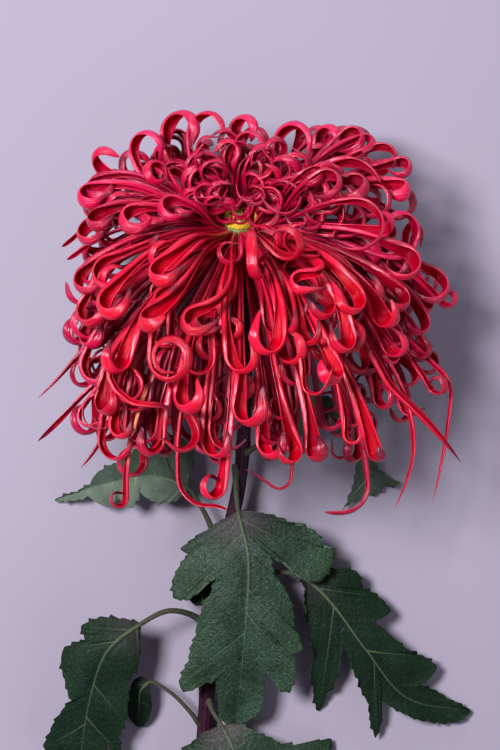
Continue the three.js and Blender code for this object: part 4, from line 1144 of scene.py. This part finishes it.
def add_sheet(skin, grid, look, placed):
    """Both faces of a blade half, thinner to its edge, and the rim that closes them."""
    rows, columns = grid.shape[:2]
    normal = np.cross(np.gradient(grid, axis=0), np.gradient(grid, axis=1))
    normal /= np.maximum(1e-9, np.linalg.norm(normal, axis=2))[..., None]
    facing = math.copysign(1, normal[..., 2].sum())
    lift = normal * facing * BLADE_THICKNESS / 2 * mix(1.0, 0.45, np.linspace(0, 1, columns) ** 2)[:, None]
    index = np.arange(rows * columns).reshape(rows, columns)
    a, b, c, d = (part.ravel() for part in (index[:-1, :-1], index[1:, :-1], index[1:, 1:], index[:-1, 1:]))
    faces = np.concatenate([np.stack([a, b, c], 1), np.stack([a, c, d], 1)])
    loop = np.concatenate([index[:, 0], index[-1, 1:], index[::-1, -1][1:], index[0, ::-1][1:-1]])
    after = np.roll(loop, -1)
    under = rows * columns
    rim = [np.stack([after, loop, loop + under], 1), np.stack([after, loop + under, after + under], 1)]
    faces = np.concatenate([faces, faces[:, ::-1] + under, *rim])
    if facing < 0:
        faces = faces[:, ::-1]
    skin.add(np.stack([grid + lift, grid - lift]), faces, look, placed)


def build_leaf(name, leaf):
    """The blade, and one rod for the stalk and the rib, which starts inside the stem."""
    skin = Skin()
    rib = evenly(catmull([place(*p) for p in leaf["rib"]], 401), 201)
    add_blade(skin, leaf, rib)
    line = catmull([place(*p) for p in leaf["stalk"] + leaf["rib"]], 90)
    share = np.linspace(0, 1, len(line))
    end = len(leaf["stalk"]) / (len(leaf["stalk"]) + len(leaf["rib"]) - 1)  # of the stalk
    radii = np.interp(share, [0, end * 0.4, end, end + 0.08, 0.97], [2.3, 1.5, 1.15, 0.8, 0.25])
    radii *= mix(0.6, 1, stations(rib)[-1] / 100)
    line[:, 2] -= np.interp(share, [0, end * 0.5, end, end + 0.1, 1], [2.2, 0, 0, 0.45, 0.1])
    bare = np.interp(share, [0, end, end + 0.06], [0.95, 0.9, 0])[:, None]
    rod(skin, line, radii, STALK_SIDES, (1.1 - 0.6 * share[:, None], 0.2, leaf["tone"]), (bare,))
    skin.build(name + "_fine", "leaf", name)


# The stem's middle line from under the bloom to its foot, as (pixel x, pixel y, height).
STEM_LINE = [
    [240, 268, 44],
    [246, 330, 32],
    [245, 400, 26],
    [243, 450, 23],
    [238, 492, 20],
    [222, 560, 16],
    [212, 622, 12.5],
    [207, 690, 9.5],
    [203, 752, 6.8],
    [198, 816, 4.6],
    [195, 872, 4.3],
]
STEM_SIDES = 54
STEM_RIDGES = 9
STEM_NODES = (0.36, 0.55, 0.58, 0.72, 0.86)  # shares of its length where it swells
NODE_SWELL = 0.55


def build_stem():
    skin = Skin()
    top = HEAD - AXIS * (CORE_RADIUS + 6.4)
    line = catmull([top] + [place(*p) for p in STEM_LINE], 180)
    share = np.linspace(0, 1, len(line))
    swell = sum(NODE_SWELL * bell(share - k, 0.012) for k in STEM_NODES)
    radii = mix(*STEM_RADIUS, share) + swell - 0.1
    ridge = np.clip(np.cos(STEM_RIDGES * circle(STEM_SIDES)), 0, 1)
    cut = share[:, None] > 0.998
    green = np.clip(1 - share[:, None] * 5, 0, 1)
    rod(skin, line, radii, STEM_SIDES, (ridge, cut, green), flute=0.035, flutes=STEM_RIDGES)
    skin.build("stem_fine", "stem", "stem")


# Lights: offset from the bloom's middle in metres, size in metres, power in watts, and colour.
LIGHTS = {
    "key": (vec(-0.45, 0.15, 1.1), 0.3, 33, (1.0, 0.97, 0.95)),
    "fill": (vec(0.9, -0.7, 0.9), 0.9, 4, (0.9, 0.92, 1.0)),
    "rim": (vec(0.2, 1.1, 0.5), 0.6, 7, (1.0, 0.95, 1.0)),
}
SURFACE_COLOUR = (0.225, 0.205, 0.275, 1)
SURFACE_REACH = 6  # metres
WORLD_COLOUR = (0.80, 0.78, 0.86, 1)
WORLD_STRENGTH = 0.22


def stage():
    """The surface below, the lights and the world."""
    scene = bpy.context.scene
    mesh = bpy.data.meshes.new("surface")
    far = SURFACE_REACH
    mesh.from_pydata([(-far, -far, 0), (far, -far, 0), (far, far, 0), (-far, far, 0)], [], [(0, 1, 2, 3)])
    mesh.materials.append(Nodes("surface", 0.9, 0.2).finish({"Base Color": SURFACE_COLOUR}))
    surface = put("surface", mesh)
    for name, (offset, size, power, colour) in LIGHTS.items():
        data = bpy.data.lights.new(name, "AREA")
        data.size = size
        data.energy = power
        data.color = colour
        light = put(name, data)
        light.location = (HEAD + SHIFT) / MM_PER_METRE + offset
        light.rotation_euler = Vector(-offset).to_track_quat("-Z", "Y").to_euler()
    scene.view_settings.view_transform = "Standard"  # the default one turns the reds pinkish
    scene.world = scene.world or bpy.data.worlds.new("world")
    scene.world.use_nodes = True
    background = scene.world.node_tree.nodes["Background"]
    background.inputs["Color"].default_value = WORLD_COLOUR
    background.inputs["Strength"].default_value = WORLD_STRENGTH


def add_camera():
    """Straight above the picture's middle, as the photo was taken."""
    data = bpy.data.cameras.new("camera")
    data.lens = data.sensor_width * VIEW_DISTANCE / (PICTURE_SIZE[1] * MM_PER_PIXEL)
    camera = put("camera", data)
    camera.location = (SHIFT + vec(0, 0, HEAD_HEIGHT + VIEW_DISTANCE)) / MM_PER_METRE
    bpy.context.scene.camera = camera


add_camera()
stage()
build_florets()
build_disc()
build_cup()
build_stem()
for leaf_name, leaf_shape in LEAVES.items():
    build_leaf(leaf_name, leaf_shape)
